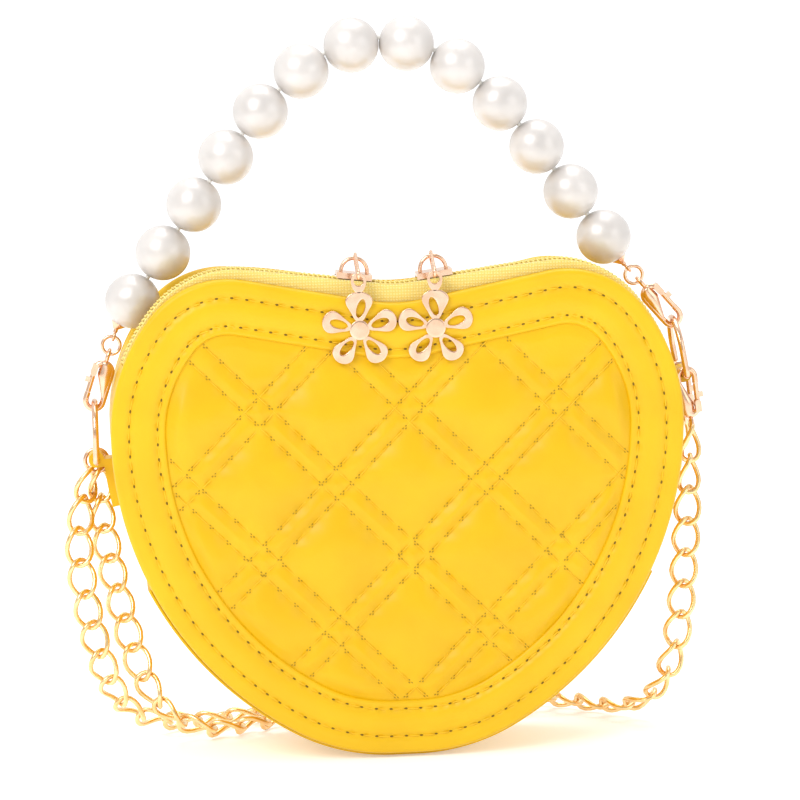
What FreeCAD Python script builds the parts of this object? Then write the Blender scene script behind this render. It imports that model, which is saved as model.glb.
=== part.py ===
import FreeCAD, Part
import math
import os

from FreeCAD import Rotation, Vector

# Heart shaped purse, in millimetres: x to the viewer's right, the front faces -y, z up from the surface it stands on

# Heart outline of the front and back panels
half_width = 89.0
widest_height = 104.0
base_half = 4.0
base_turn = 30.0
lobe_share = 0.59
lobe_rise = 48.0
shoulder_turn = 130.0
valley_angle = 11.0
valley_radius = 40.0

# Depth and the sewn layers
depth = 44.0
leather = 1.4
quilt_rim = 1.2
board = 1.0
lining = 0.5
turned_edge = 1.2
border_width = 17.0
border_gap = 0.3

# Quilted pad: how far in and out it swells from the border, and its double rows of stitching
pad_steps = ((0.0, 0.0), (0.17, 1.1), (0.5, 2.0), (0.94, 2.4))
quilt_step = 23.2
quilt_cross_x = 5.0
quilt_cross_z = 110.7
row_half_gap = 3.3
groove_half = 0.8
groove_depth = 0.9

# Gussets
base_gusset_top = 56.0
gusset_overlap = 10.0
zip_end_heading = 112.0
sag = 7.5
sag_from = 0.5
sag_to = 11.0

# Zip
ridge_rise = 3.0
zip_valley_angle = 7.5
tape = 0.8
coil_radius = 1.0
coil_gap_half = 0.5
zip_set_back = 8.8
tape_width = 2.2
coil_clearance = 0.3

# Sliders and pulls
pull_x = 11.75
slider_length = 11.0
slider_half = 3.6
slider_inner_half = 3.4
slider_plate = 1.2
flange = 0.6
post_half = 0.3
post_length = 2.0
bridge_half = 3.9
bridge_rise = 4.5
bridge_wire = 0.6
link_wire = 0.5
link_half = 1.25
link_clearance = 0.15
eye_drop = 6.0
pull_gap = 0.5
flower_thick = 1.0
flower_drop = 15.2
petal_reach = 11.9
petal_half = 4.1
petal_root = 1.1
petal_count = 5
flower_eye = 2.4
flower_eye_hole = 1.5
flower_heart = 3.5

# Side tabs and D-rings
hardware_y = 5.5
tab_below_left = 9.5
tab_above_right = 10.0
tab_half = 3.6
tab_length = 15.0
tab_layers = 2.8
tab_loop_wall = 1.3
standoff = 5.0
d_wire = 1.0
d_bar_half = 8.0
d_corner = 2.0
d_side = 6.0
d_lean_left = 0.0
d_lean_right = 10.0
running_fit = 0.15
hook_seat = 0.3

# Lobster clasps
clasp_wire = 0.95
clasp_half = 2.7
clasp_length = 9.5
clasp_tip = 2.0
clasp_eye = 1.9
clasp_eye_wire = 0.6
lever_wire = 0.85
lever_pivot = 1.2
ear = 0.6
pin_radius = 0.45
pin_fit = 0.1
end_gap = 0.2
ring_fit = 0.1

# Pearl handle
pearl_count = 13
pearl_radius = 8.6
pearl_pitch = 17.9
pearl_bore = 0.9
cord_radius = 0.7
crown_place = 7.5
crown_spread = 1.9
string_drop = 24.8
string_lean_left = 18.8
string_lean_right = 41.3
hand_ring = 2.8
hand_ring_wire = 0.55
end_loop = 1.3
end_loop_wire = 0.45
cap_radius = 2.6
cap_length = 2.2

# Chain strap
link_length = 13.4
link_width = 9.6
chain_wire = 1.35
link_pitch = 10.4
hook_y = 7.0
turn_ring = 3.6
turn_ring_wire = 0.7
turn_spread = 40.0
strap_clasp_tilt = 6.0
floor_z = 4.9
outer_route = (
    (-99.8, 8.4, 77), (-101.4, 4.8, 64), (-99.8, 3.6, 50), (-96.6, 6, 35), (-92.4, 12, 21), (-86, 22.4, 10),
    (-73.6, 34.6, 5), (-55, 42, floor_z), (-34, 44.5, floor_z), (-12, 46.5, floor_z), (10, 47, floor_z),
    (33, 45.5, floor_z), (54, 43, floor_z), (73, 36, 5), (86, 25.5, 10), (92.6, 14, 22), (95.6, 6, 38),
    (96.8, 1.4, 54), (96.6, -0.8, 70),
)
inner_route = (
    (-92.8, 14.8, 77), (-91.4, 16.4, 64), (-89.4, 17.2, 50), (-85.6, 18.4, 36), (-79.4, 20.6, 23), (-71, 24, 12),
    (-60, 27.6, 5.4), (-45, 29.4, floor_z), (-25, 30, floor_z), (-4, 29.6, floor_z), (18, 30.2, floor_z),
    (38, 29.8, floor_z), (54, 27.6, 5), (66, 24.4, 9), (76, 20, 18), (84, 16.8, 30), (89.4, 14.8, 44),
    (92.6, 13.4, 58), (94.6, 12.6, 72),
)

apex_height = widest_height + lobe_rise
tab_height_left = widest_height - tab_below_left
tab_height_right = widest_height + tab_above_right
apex_spacing_half = lobe_share * half_width
front_face = -depth / 2
border_back = front_face + leather
rim_back = border_back + quilt_rim
board_back = rim_back + board
panel_back = board_back + lining
back_face = depth / 2
back_plate = back_face - leather
back_board_face = back_plate - board
back_inside = back_board_face - lining
zip_y = panel_back + tape + zip_set_back - coil_gap_half - slider_half
zip_half = coil_gap_half + 2 * coil_radius


def sin(degrees):
    return math.sin(math.radians(degrees))


def cos(degrees):
    return math.cos(math.radians(degrees))


class Heart:
    """Outline of tangent arcs; a heading is the direction of travel round it, 0 along the base."""

    def __init__(self, apex, valley):
        self.valley = valley
        rise, reach = widest_height - leather, half_width - base_half
        s, c = sin(base_turn), cos(base_turn)
        solve = (1 - c) * (1 - s) - c * s
        base_radius = (rise * (1 - s) - reach * c) / solve
        side_radius = ((1 - c) * reach - s * rise) / solve
        rise, reach = apex - widest_height, half_width - apex_spacing_half
        s, c = sin(shoulder_turn), cos(shoulder_turn)
        solve = -c * s - (1 + c) * (1 - s)
        shoulder_radius = (rise * s - (1 + c) * reach) / solve
        lobe_radius = (-c * reach - (1 - s) * rise) / solve
        self.arcs = (
            (base_half, leather + base_radius, base_radius, 0.0, base_turn),
            (half_width - side_radius, widest_height, side_radius, base_turn, 90.0),
            (half_width - shoulder_radius, widest_height, shoulder_radius, 90.0, shoulder_turn),
            (apex_spacing_half, apex - lobe_radius, lobe_radius, shoulder_turn, 180 + valley),
        )
        end_x, end_z = self.point(180 + valley, 0)
        start_x = valley_radius * sin(valley)
        start_z = end_z - (end_x - start_x) * math.tan(math.radians(valley))
        self.valley_z = start_z + valley_radius * cos(valley)

    def point(self, heading, inset):
        """Point of the right half where the outline runs at this heading."""
        for x, z, radius, first, last in self.arcs:
            if first <= heading <= last:
                return x + (radius - inset) * sin(heading), z - (radius - inset) * cos(heading)

    def heading_at(self, height):
        """Heading on the side where the outline passes this height."""
        radius = self.arcs[1][2] if height < widest_height else self.arcs[2][2]
        return math.degrees(math.acos((widest_height - height) / radius))

    def slope_height(self, x, inset):
        """Height of the straight slope beside the valley at this x."""
        end_x, end_z = self.point(180 + self.valley, inset)
        return end_z - (end_x - x) * math.tan(math.radians(self.valley))

    def side(self, inset, first, last):
        """Arcs of the right half between two headings, each as three points."""
        path = []
        for _, _, _, start, end in self.arcs:
            low, high = max(start, first), min(end, last)
            if high - low > 1e-6:
                path.append(tuple(self.point(h, inset) for h in (low, (low + high) / 2, high)))
        return path

    def dip(self, inset):
        """The two slopes and the valley arc between the lobes, right to left."""
        reach = valley_radius + inset
        right = (reach * sin(self.valley), self.valley_z - reach * cos(self.valley))
        middle = (0.0, self.valley_z - reach)
        lobe = self.point(180 + self.valley, inset)
        slope = [(lobe, right)]
        return slope + [(right, middle, mirror(right))] + turn_back(slope)

    def over(self, inset, first):
        """From this heading on the right, over both lobes, to the same heading on the left."""
        right = self.side(inset, first, 180 + self.valley)
        return right + self.dip(inset) + turn_back(right)

    def under(self, inset, last):
        """From this heading on the left, round the base, to the same heading on the right."""
        right = self.side(inset, 0, last)
        return turn_back(right) + [(mirror(right[0][0]), right[0][0])] + right

    def closed(self, inset):
        return self.under(inset, 180 + self.valley) + self.dip(inset)


def mirror(point):
    return -point[0], point[1]


def turn_back(path):
    """The same path on the other half, walked the other way."""
    return [tuple(mirror(p) for p in piece[::-1]) for piece in reversed(path)]


def edge(piece, y):
    points = [Vector(x, y, z) for x, z in piece]
    curve = Part.LineSegment(*points) if len(points) == 2 else Part.Arc(*points)
    return curve.toShape()


def wire(path, y):
    return Part.Wire([edge(piece, y) for piece in path])


def between(outer, inner, y):
    """Closed wire round the strip between two open paths."""
    back = [piece[::-1] for piece in reversed(inner)]
    return wire(outer + [(outer[-1][-1], inner[-1][-1])] + back + [(inner[0][0], outer[0][0])], y)


def extruded(outline, y_end):
    face = Part.Face(outline)
    return face.extrude(Vector(0, y_end - outline.BoundBox.YMin, 0))


def plate(inset, y_start, y_end):
    return extruded(wire(panel.closed(inset), y_start), y_end)


def tube(edges, radius):
    """Round wire along a planar path."""
    path = Part.Wire(edges)
    first = path.OrderedEdges[0]
    start = path.OrderedVertexes[0].Point
    ahead = first.tangentAt(first.FirstParameter)
    if first.valueAt(first.FirstParameter).distanceToPoint(start) > 1e-6:
        ahead = first.tangentAt(first.LastParameter)
    ring = Part.Wire([Part.Circle(start, ahead, radius).toShape()])
    return path.makePipeShell([ring], True, False)


def line(a, b):
    return Part.LineSegment(Vector(*a), Vector(*b)).toShape()


def arc(a, b, c):
    return Part.Arc(Vector(*a), Vector(*b), Vector(*c)).toShape()


def placed(shape, origin, first, third):
    """Puts local x along first and local z along third, with the local origin at origin."""
    second = third.cross(first)
    frame = FreeCAD.Matrix(first.x, second.x, third.x, origin.x, first.y, second.y, third.y, origin.y,
                           first.z, second.z, third.z, origin.z, 0, 0, 0, 1)
    return shape.transformed(frame, copy=True)


def mirrored(shape):
    return shape.mirror(Vector(0, 0, 0), Vector(1, 0, 0))


panel = Heart(apex_height, valley_angle)
ridge = Heart(apex_height + ridge_rise, zip_valley_angle)


def front_border():
    """Smooth leather frame with its outer edge turned back over the layers."""
    frame = plate(0, front_face, border_back).cut(plate(border_width, front_face, border_back))
    lip = plate(0, border_back, panel_back).cut(plate(turned_edge, border_back, panel_back))
    return frame.fuse(lip).removeSplitter()


def stitch_grooves():
    """Sharp channels of the double stitch rows, along both diagonals."""
    reach = 2 * half_width
    front = border_back - pad_steps[-1][1] - 1
    grooves = []
    for turn in (45, -45):
        for step in range(-4, 5):
            for side in (-row_half_gap, row_half_gap):
                across = step * quilt_step * math.sqrt(2) + side
                deep = border_back - pad_steps[-1][1] + groove_depth
                wide = groove_half * (deep - front) / groove_depth
                corners = [Vector(across - wide, front, 0), Vector(across, deep, 0), Vector(across + wide, front, 0)]
                prism = Part.Face(Part.makePolygon(corners + corners[:1])).extrude(Vector(0, 0, 2 * reach))
                prism.translate(Vector(0, 0, -reach))
                prism.rotate(Vector(0, 0, 0), Vector(0, 1, 0), turn)
                prism.translate(Vector(quilt_cross_x, 0, quilt_cross_z))
                grooves.append(prism)
    return grooves


def front_quilt_panel():
    """Padded panel: a flat rim under the border and a swelling, stitched pad inside it."""
    start = border_width + border_gap
    room = panel.arcs[-1][2] - start
    pad = Part.makeLoft([wire(panel.closed(start + share * room), border_back - swell) for share, swell in pad_steps],
                        True, True)
    pad = pad.cut(Part.makeCompound(stitch_grooves()))
    return plate(turned_edge, border_back, rim_back).fuse(pad).removeSplitter()


def back_panel():
    sheet = plate(0, back_plate, back_face)
    lip = plate(0, back_inside, back_plate).cut(plate(turned_edge, back_inside, back_plate))
    return sheet.fuse(lip).removeSplitter()


def side_gusset():
    """Right side gusset, from under the base gusset up to the end of the zip."""
    low = panel.heading_at(base_gusset_top - gusset_overlap)
    outer = panel.side(0, low, zip_end_heading)
    inner = panel.side(leather, low, zip_end_heading)
    return extruded(between(outer, inner, panel_back), back_inside)


def base_gusset():
    """Band round the base, sewn over the lower ends of the side gussets; its flat middle is the foot."""
    last = panel.heading_at(base_gusset_top)
    return extruded(between(panel.under(-leather, last), panel.under(0, last), panel_back), back_inside)


def base_board():
    last = panel.heading_at(base_gusset_top - gusset_overlap)
    return extruded(between(panel.under(0, last), panel.under(leather, last), panel_back), back_inside)


def gusset_lining():
    outer = panel.under(leather, zip_end_heading)
    inner = panel.under(leather + lining, zip_end_heading)
    return extruded(between(outer, inner, panel_back), back_inside)


def ridge_band(y_start, y_end):
    outer = ridge.over(0, zip_end_heading)
    return extruded(between(outer, ridge.over(tape, zip_end_heading), y_start), y_end)


def zip_tape_front():
    """Tape that stands up behind the border and turns in to the coil."""
    outer, inner = ridge.over(0, zip_end_heading), panel.over(turned_edge, zip_end_heading)
    wall = extruded(between(outer, inner, panel_back), panel_back + tape)
    return wall.fuse(ridge_band(panel_back + tape, zip_y - zip_half)).removeSplitter()


def zip_tape_back():
    return ridge_band(zip_y + zip_half, zip_y + zip_half + tape_width)


def top_gusset():
    """Leather strip from the zip to the back panel, sagging in the middle."""
    start = zip_y + zip_half + tape_width
    sections = []
    for outline, inset, y in ((ridge, 0, start), (panel, sag, sag_from), (panel, sag, sag_to), (panel, 0, back_inside)):
        outer = outline.over(inset, zip_end_heading)
        sections.append(between(outer, outline.over(inset + turned_edge, zip_end_heading), y))
    return Part.makeLoft(sections, True, True)


def zip_coil(side):
    """One half of the coil, as the bar its windings fill."""
    y = zip_y + side * (coil_gap_half + coil_radius)
    return tube([edge(piece, y) for piece in ridge.over(tape / 2, zip_end_heading)], coil_radius)


def box(x0, x1, y0, y1, z0, z1):
    return Part.makeBox(x1 - x0, y1 - y0, z1 - z0, Vector(x0, y0, z0))


slope = Vector(cos(zip_valley_angle), 0, sin(zip_valley_angle))
slope_up = Vector(-sin(zip_valley_angle), 0, cos(zip_valley_angle))
plate_low = coil_radius + coil_clearance
bridge_low = plate_low + slider_plate
bridge_top = bridge_low + bridge_rise
slider_x = pull_x + bridge_top * sin(zip_valley_angle)
slider_at = Vector(slider_x, zip_y, ridge.slope_height(slider_x, tape / 2))
pull_axis = slider_at + slope_up * bridge_top
flower_y = front_face - pull_gap - flower_thick / 2
eye_at = Vector(pull_x, flower_y, pull_axis.z - eye_drop)


def slider():
    """Right slider in its own frame: two plates with flanges, the post between the coils and the bridge."""
    half = slider_length / 2
    body = box(-half, half, -post_half, post_half, -plate_low - slider_plate / 2, plate_low + slider_plate / 2)
    body = body.common(box(-half + end_gap, -half + end_gap + post_length, -1, 1, -half, half))
    for up, wide in ((1, slider_half + flange), (-1, slider_inner_half)):
        low, high = sorted((up * plate_low, up * bridge_low))
        body = body.fuse(box(-half, half, -wide, wide, low, high))
        lip_low, lip_high = sorted((up * (tape / 2 + coil_clearance), up * plate_low))
        for y in (-wide, wide - flange):
            body = body.fuse(box(-half, half, y, y + flange, lip_low, lip_high))
    foot = plate_low + slider_plate / 2
    bridge = tube([arc((-bridge_half, 0, foot), (0, 0, bridge_top), (bridge_half, 0, foot))], bridge_wire)
    return placed(body.fuse(bridge).removeSplitter(), slider_at, slope, slope_up)


def pull_link():
    """Right wire link, from round the bridge to the eye of the flower, in the plane across the zip."""
    run = eye_at + Vector(0, 0, (flower_eye + flower_eye_hole) / 2) - pull_axis
    length = math.hypot(run.y, run.z)
    near = link_half - link_wire - bridge_wire - link_clearance
    edges = [line((near, link_half, 0), (length, link_half, 0)),
             arc((length, link_half, 0), (length + link_half, 0, 0), (length, -link_half, 0)),
             line((length, -link_half, 0), (near, -link_half, 0)),
             arc((near, -link_half, 0), (near - link_half, 0, 0), (near, link_half, 0))]
    along = Vector(0, run.y, run.z).normalize()
    return placed(tube(edges, link_wire), pull_axis, along, Vector(1, 0, 0))


def petal(root, half, reach, shoulder):
    """Fan shaped petal outline along +x, in the xy plane."""
    edges = [line((root, petal_root, 0), (shoulder, half, 0)),
             arc((shoulder, half, 0), (reach, 0, 0), (shoulder, -half, 0)),
             line((shoulder, -half, 0), (root, -petal_root, 0)),
             line((root, -petal_root, 0), (root, petal_root, 0))]
    return Part.Face(Part.Wire(edges))


def teardrop():
    """Cut-out of a petal, pointed towards the middle of the flower."""
    tip, shoulder, half, reach = 0.36 * petal_reach, 0.63 * petal_reach, 0.58 * petal_half, 0.79 * petal_reach
    edges = [line((tip, 0, 0), (shoulder, half, 0)),
             arc((shoulder, half, 0), (reach, 0, 0), (shoulder, -half, 0)),
             line((shoulder, -half, 0), (tip, 0, 0))]
    return Part.Face(Part.Wire(edges))


def pull_flower():
    """Right flower: five open petals round a plain middle, with its eye above the top petal."""
    thick = Vector(0, 0, flower_thick)
    body = Part.makeCylinder(flower_heart, flower_thick)
    cuts = []
    for index in range(petal_count):
        turn = 90 + index * 360 / petal_count
        leaf = petal(petal_root, petal_half, petal_reach, 0.74 * petal_reach).extrude(thick)
        leaf.rotate(Vector(0, 0, 0), Vector(0, 0, 1), turn)
        hole = teardrop().extrude(thick)
        hole.rotate(Vector(0, 0, 0), Vector(0, 0, 1), turn)
        body = body.fuse(leaf)
        cuts.append(hole)
    body = body.fuse(Part.makeCylinder(flower_eye, flower_thick, Vector(0, flower_drop, 0)))
    stem = Part.makeBox(2 * petal_root, flower_drop - petal_reach, flower_thick, Vector(-petal_root, petal_reach - 0.5, 0))
    cuts.append(Part.makeCylinder(flower_eye_hole, flower_thick, Vector(0, flower_drop, 0)))
    body = body.fuse(stem).cut(Part.makeCompound(cuts)).removeSplitter()
    return placed(body, eye_at + Vector(0, flower_thick / 2, -flower_drop), Vector(1, 0, 0), Vector(0, -1, 0))


def bar_at(side, height):
    """Axis of a D-ring's bar, clear of the gusset."""
    x, z = panel.point(panel.heading_at(height), -standoff)
    return Vector(side * x, hardware_y, z)


def side_tab(side, height):
    """Folded leather tab on the gusset, with the loop that holds the D-ring's bar."""
    low, high = panel.heading_at(height - tab_length), panel.heading_at(height)
    near, far = hardware_y - tab_half, hardware_y + tab_half
    strap = extruded(between(panel.side(-tab_layers, low, high), panel.side(0, low, high), near), far)
    neck_low = panel.heading_at(height - d_wire - tab_loop_wall)
    neck = between(panel.side(-standoff, neck_low, high), panel.side(0, neck_low, high), near)
    strap = strap.fuse(extruded(neck, far))
    middle = bar_at(1, height) - Vector(0, tab_half, 0)
    hole = d_wire + running_fit
    loop = Part.makeCylinder(hole + tab_loop_wall, 2 * tab_half, middle, Vector(0, 1, 0))
    bore = Part.makeCylinder(hole, 2 * tab_half, middle, Vector(0, 1, 0))
    tab = strap.fuse(loop).cut(bore).removeSplitter()
    return tab if side > 0 else mirrored(tab)


def d_ring(side, height, lean):
    """Wire D: a straight bar in the tab and a round bow above it, leaning over the shoulder."""
    bar, corner = d_bar_half, d_corner
    wide = bar + corner
    bend = corner * (1 - math.sqrt(0.5))
    top = d_side + corner
    edges = [line((0, -bar, 0), (0, bar, 0)),
             arc((0, bar, 0), (0, wide - bend, bend), (0, wide, corner)),
             line((0, wide, corner), (0, wide, top)),
             arc((0, wide, top), (0, 0, top + wide), (0, -wide, top)),
             line((0, -wide, top), (0, -wide, corner)),
             arc((0, -wide, corner), (0, -wide + bend, bend), (0, -bar, 0))]
    ring = tube(edges, d_wire)
    ring.rotate(Vector(0, 0, 0), Vector(0, 1, 0), -side * lean)
    ring.translate(bar_at(side, height))
    return ring


def bow_at(side, height, lean):
    """Middle of the wire at the top of a D-ring's bow."""
    reach = d_corner + d_side + d_corner + d_bar_half
    return bar_at(side, height) + Vector(-side * sin(lean), 0, cos(lean)) * reach


def clasp_body():
    """Lobster clasp: local x runs from its eye to its hook, whose round end is centred on the origin."""
    a, far = clasp_half, -clasp_length
    edges = [arc((far, a, 0), (far - a, 0, 0), (far, -a, 0)), line((far, -a, 0), (0, -a, 0)),
             arc((0, -a, 0), (a, 0, 0), (0, a, 0)), line((0, a, 0), (-clasp_tip, a, 0))]
    body = tube(edges, clasp_wire)
    pivot = far + lever_pivot
    ear_low = lever_wire + running_fit
    for low in (ear_low, -ear_low - ear):
        cheek = box(far - 1.5 * lever_pivot, pivot, a - clasp_wire, a + clasp_wire, low, low + ear)
        body = body.fuse(cheek.fuse(Part.makeCylinder(clasp_wire, ear, Vector(pivot, a, low))))
    body = body.fuse(Part.makeCylinder(pin_radius, 2 * (ear_low + ear), Vector(pivot, a, -ear_low - ear)))
    body = body.fuse(box(far - 1.5 * lever_pivot, far - end_gap, a - clasp_wire, a + clasp_wire,
                         -ear_low - ear, ear_low + ear))
    eye = Part.makeTorus(clasp_eye, clasp_eye_wire, Vector(clasp_eye_x, 0, 0), Vector(0, 1, 0))
    return body.fuse(eye).removeSplitter()


clasp_eye_x = -clasp_length - clasp_half - clasp_wire - clasp_eye + clasp_eye_wire / 2


def clasp_lever():
    """Gate of the clasp, with its thumb piece, closed against the hook's tip."""
    a, far = clasp_half, -clasp_length
    pivot = far + lever_pivot
    tip = -clasp_tip - end_gap
    bar = Part.makeCylinder(lever_wire, tip - pivot, Vector(pivot, a, 0), Vector(1, 0, 0))
    knuckle = Part.makeCylinder(clasp_wire, 2 * lever_wire, Vector(pivot, a, -lever_wire))
    thumb = box(pivot + 1.6, pivot + 3.2, a, a + lever_wire + 1.1, -lever_wire + 0.1, lever_wire - 0.1)
    bore = Part.makeCylinder(pin_radius + pin_fit, 4 * lever_wire, Vector(pivot, a, -2 * lever_wire))
    return bar.fuse(knuckle).fuse(thumb).cut(bore).removeSplitter()


bow_left = bow_at(-1, tab_height_left, d_lean_left)
bow_right = bow_at(1, tab_height_right, d_lean_right)
swing = (bow_right - bow_left).normalize()
swing_up = Vector(-swing.z, 0, swing.x)
hook_drop = d_wire + clasp_wire + hook_seat
strap_drop = d_wire + clasp_wire + running_fit


def hook_at(bow):
    """Centre of the round end of the clasp that hangs on this bow."""
    return bow + swing_up * (clasp_half - hook_drop)


def string_end(end):
    """Where the cord leaves the first or last pearl, above the hooks and leaning in over the purse."""
    bow, lean = (bow_left, string_lean_left) if end < 0 else (bow_right, string_lean_right)
    return hook_at(bow) + Vector(-end * sin(lean), 0, cos(lean)) * string_drop


def arch(slope):
    """Cord from the origin, one step per pearl: two straight legs of this slope and a rounded crown."""
    points = [Vector(0, 0, 0)]
    for index in range(1, pearl_count + 1):
        slant = slope * math.tanh((crown_place - index) / crown_spread)
        points.append(points[-1] + Vector(cos(slant), 0, sin(slant)) * pearl_pitch)
    return points


def string_points():
    """Where the cord bends, between the pearls: the arch whose span fits between its two ends."""
    first, last = string_end(-1), string_end(1)
    span = last - first
    flat, steep = 1.0, 89.0
    while steep - flat > 1e-9:
        slope = (flat + steep) / 2
        flat, steep = (slope, steep) if arch(slope)[-1].Length > span.Length else (flat, slope)
    points = arch(slope)
    turn = Rotation(points[-1], span)
    return [first + turn.multVec(point) for point in points]


string = string_points()


def handle_hook(end):
    """Centre of a handle clasp's round end and the direction of the clasp, for the left or right end."""
    bow, last = (bow_left, string[0]) if end < 0 else (bow_right, string[-1])
    return hook_at(bow), (hook_at(bow) - last).normalize()


def handle_piece(shape, end):
    centre, along = handle_hook(end)
    return placed(shape, centre, along, Vector(0, -end, 0))


def handle_ring(end):
    centre, along = handle_hook(end)
    middle = centre + along * hand_ring_x
    return Part.makeTorus(hand_ring, hand_ring_wire, middle, Vector(0, 1, 0))


hand_ring_x = clasp_eye_x - (clasp_eye - clasp_eye_wire - hand_ring_wire - ring_fit) - hand_ring
end_loop_x = hand_ring_x - hand_ring - (end_loop - end_loop_wire - hand_ring_wire - ring_fit)


def handle_end(end):
    """Loop, stem and bead cap that finish the string."""
    centre, along = handle_hook(end)
    last, second = (string[0], string[1]) if end < 0 else (string[-1], string[-2])
    middle = centre + along * end_loop_x
    loop = Part.makeTorus(end_loop, end_loop_wire, middle, along.cross(Vector(0, 1, 0)))
    foot = middle - along * end_loop
    stem = Part.makeCylinder(cord_radius, foot.distanceToPoint(last), foot, last - foot)
    inward = (second - last).normalize()
    seat = pearl_pitch / 2 - math.sqrt(pearl_radius ** 2 - cap_radius ** 2)
    cap = Part.makeCone(cord_radius, cap_radius, cap_length, last + inward * (seat - cap_length), inward)
    bead = Part.makeSphere(pearl_radius + ring_fit / 2, last + inward * (pearl_pitch / 2))
    bore = Part.makeCylinder(cord_radius, 3 * cap_length, last, inward)
    return loop.fuse(stem).fuse(cap).cut(bead).cut(bore).removeSplitter()


def handle_cord():
    """Cord through all the pearls, bending in the gaps between them."""
    cord = None
    for a, b in zip(string, string[1:]):
        stretch = Part.makeCylinder(cord_radius, a.distanceToPoint(b), a, b - a)
        bend = Part.makeSphere(cord_radius + ring_fit / 2, b)
        piece = stretch if b is string[-1] else stretch.fuse(bend)
        cord = piece if cord is None else cord.fuse(piece)
    return cord.removeSplitter()


def pearl(index):
    a, b = string[index], string[index + 1]
    ball = Part.makeSphere(pearl_radius, (a + b) * 0.5)
    return ball.cut(Part.makeCylinder(pearl_bore, pearl_pitch, a, b - a))


strap_up = Vector(-sin(strap_clasp_tilt), 0, cos(strap_clasp_tilt))


def chain_clasp_frame(side):
    """Origin of a strap clasp hanging on the exposed bar of the right D-ring."""
    bar = bar_at(1, tab_height_right) + Vector(0, side * hook_y, 0)
    return bar + strap_up * (strap_drop - clasp_half)


def chain_piece(shape, side):
    return placed(shape, chain_clasp_frame(side), strap_up, Vector(0, 1, 0))


def turn_ring_at():
    bar = bar_at(-1, tab_height_left) + Vector(0, hook_y, 0)
    return bar - Vector(0, 0, turn_ring - turn_ring_wire - d_wire - running_fit)


def chain_turn_ring():
    """Ring on the left D-ring's bar, where the strap is doubled."""
    return Part.makeTorus(turn_ring, turn_ring_wire, turn_ring_at(), Vector(0, 1, 0))


def link():
    """Flat oval chain link along local x, faced like a wire bent at its corners."""
    def oval(length, width):
        corner = width * 0.3
        x, y = length / 2, width / 2
        points = [(x, y - corner), (x - corner, y), (corner - x, y), (-x, y - corner),
                  (-x, corner - y), (corner - x, -y), (x - corner, -y), (x, corner - y)]
        return Part.makePolygon([Vector(px, py, 0) for px, py in points + points[:1]])
    hole = Part.Face(oval(link_length - 2 * chain_wire, link_width - 2 * chain_wire))
    solid = Part.Face(oval(link_length, link_width)).cut(hole).extrude(Vector(0, 0, chain_wire))
    solid.translate(Vector(0, 0, -chain_wire / 2))
    return solid


def rounded(points):
    """Straight runs joined by tangent arcs, each as large as its two runs allow."""
    edges, here = [], points[0]
    for before, corner, after in zip(points, points[1:], points[2:]):
        back, ahead = before - corner, after - corner
        reach = 0.45 * min(back.Length, ahead.Length)
        start, end = corner + back.normalize() * reach, corner + ahead.normalize() * reach
        half = 0.5 * back.getAngle(ahead)
        middle = corner + (back + ahead).normalize() * reach * (1 / math.cos(half) - math.tan(half))
        edges += [Part.LineSegment(here, start).toShape(), Part.Arc(start, middle, end).toShape()]
        here = end
    return Part.Wire(edges + [Part.LineSegment(here, points[-1]).toShape()])


def chain_strand(route, spread, side):
    """Interlocking links from the turn ring to a clasp, each a quarter turn round from the last."""
    hang = turn_ring - turn_ring_wire - chain_wire * math.sqrt(0.5) - ring_fit
    start = turn_ring_at() + Vector(hang * sin(spread), 0, -hang * cos(spread))
    finish = chain_clasp_frame(side) + strap_up * clasp_eye_x
    path = rounded([start] + [Vector(*p) for p in route] + [finish])
    end_wire = (link_length - chain_wire) / 2
    count = 2 * round((path.Length - 2 * end_wire) / link_pitch / 2) + 2
    spacing = (path.Length - 2 * end_wire) / (count - 1)
    points = path.discretize(Distance=spacing / 8)
    bends = [piece.Curve.Radius for piece in path.Edges if hasattr(piece.Curve, "Radius")]
    print("strand", round(path.Length, 1), "mm,", count, "links, pitch", round(spacing, 3))
    print("smallest bend radius", round(min(bends), 1), "mm, the rest up to", round(max(bends), 1), "mm")
    return place_links(points, count, end_wire, spacing, path.Length)


def place_links(points, count, end_wire, spacing, length):
    """Links at even spacing, their roll carried along the path and eased to end square to the clasp."""
    def at(distance):
        place = min(max(distance / length, 0), 1) * (len(points) - 1)
        low = min(int(place), len(points) - 2)
        return points[low] + (points[low + 1] - points[low]) * (place - low)
    centres = [end_wire + spacing * k for k in range(count)]
    aheads = [(at(s + end_wire) - at(s - end_wire)).normalize() for s in centres]
    across = Vector(0, 1, 0)
    frames = []
    for ahead in aheads:
        across = (across - ahead * across.dot(ahead)).normalize()
        frames.append(across)
    left_over = frames[-1].getAngle(Vector(0, 1, 0))
    if frames[-1].cross(Vector(0, 1, 0)).dot(aheads[-1]) < 0:
        left_over = -left_over
    solids = []
    for k, (s, ahead, across) in enumerate(zip(centres, aheads, frames)):
        roll = math.degrees(left_over) * k / (count - 1) + 90 * (k % 2)
        wide = Rotation(ahead, roll).multVec(across)
        middle = (at(s + end_wire) + at(s - end_wire)) * 0.5
        solids.append(placed(link(), middle, ahead, ahead.cross(wide)))
    return Part.makeCompound(solids)


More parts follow.
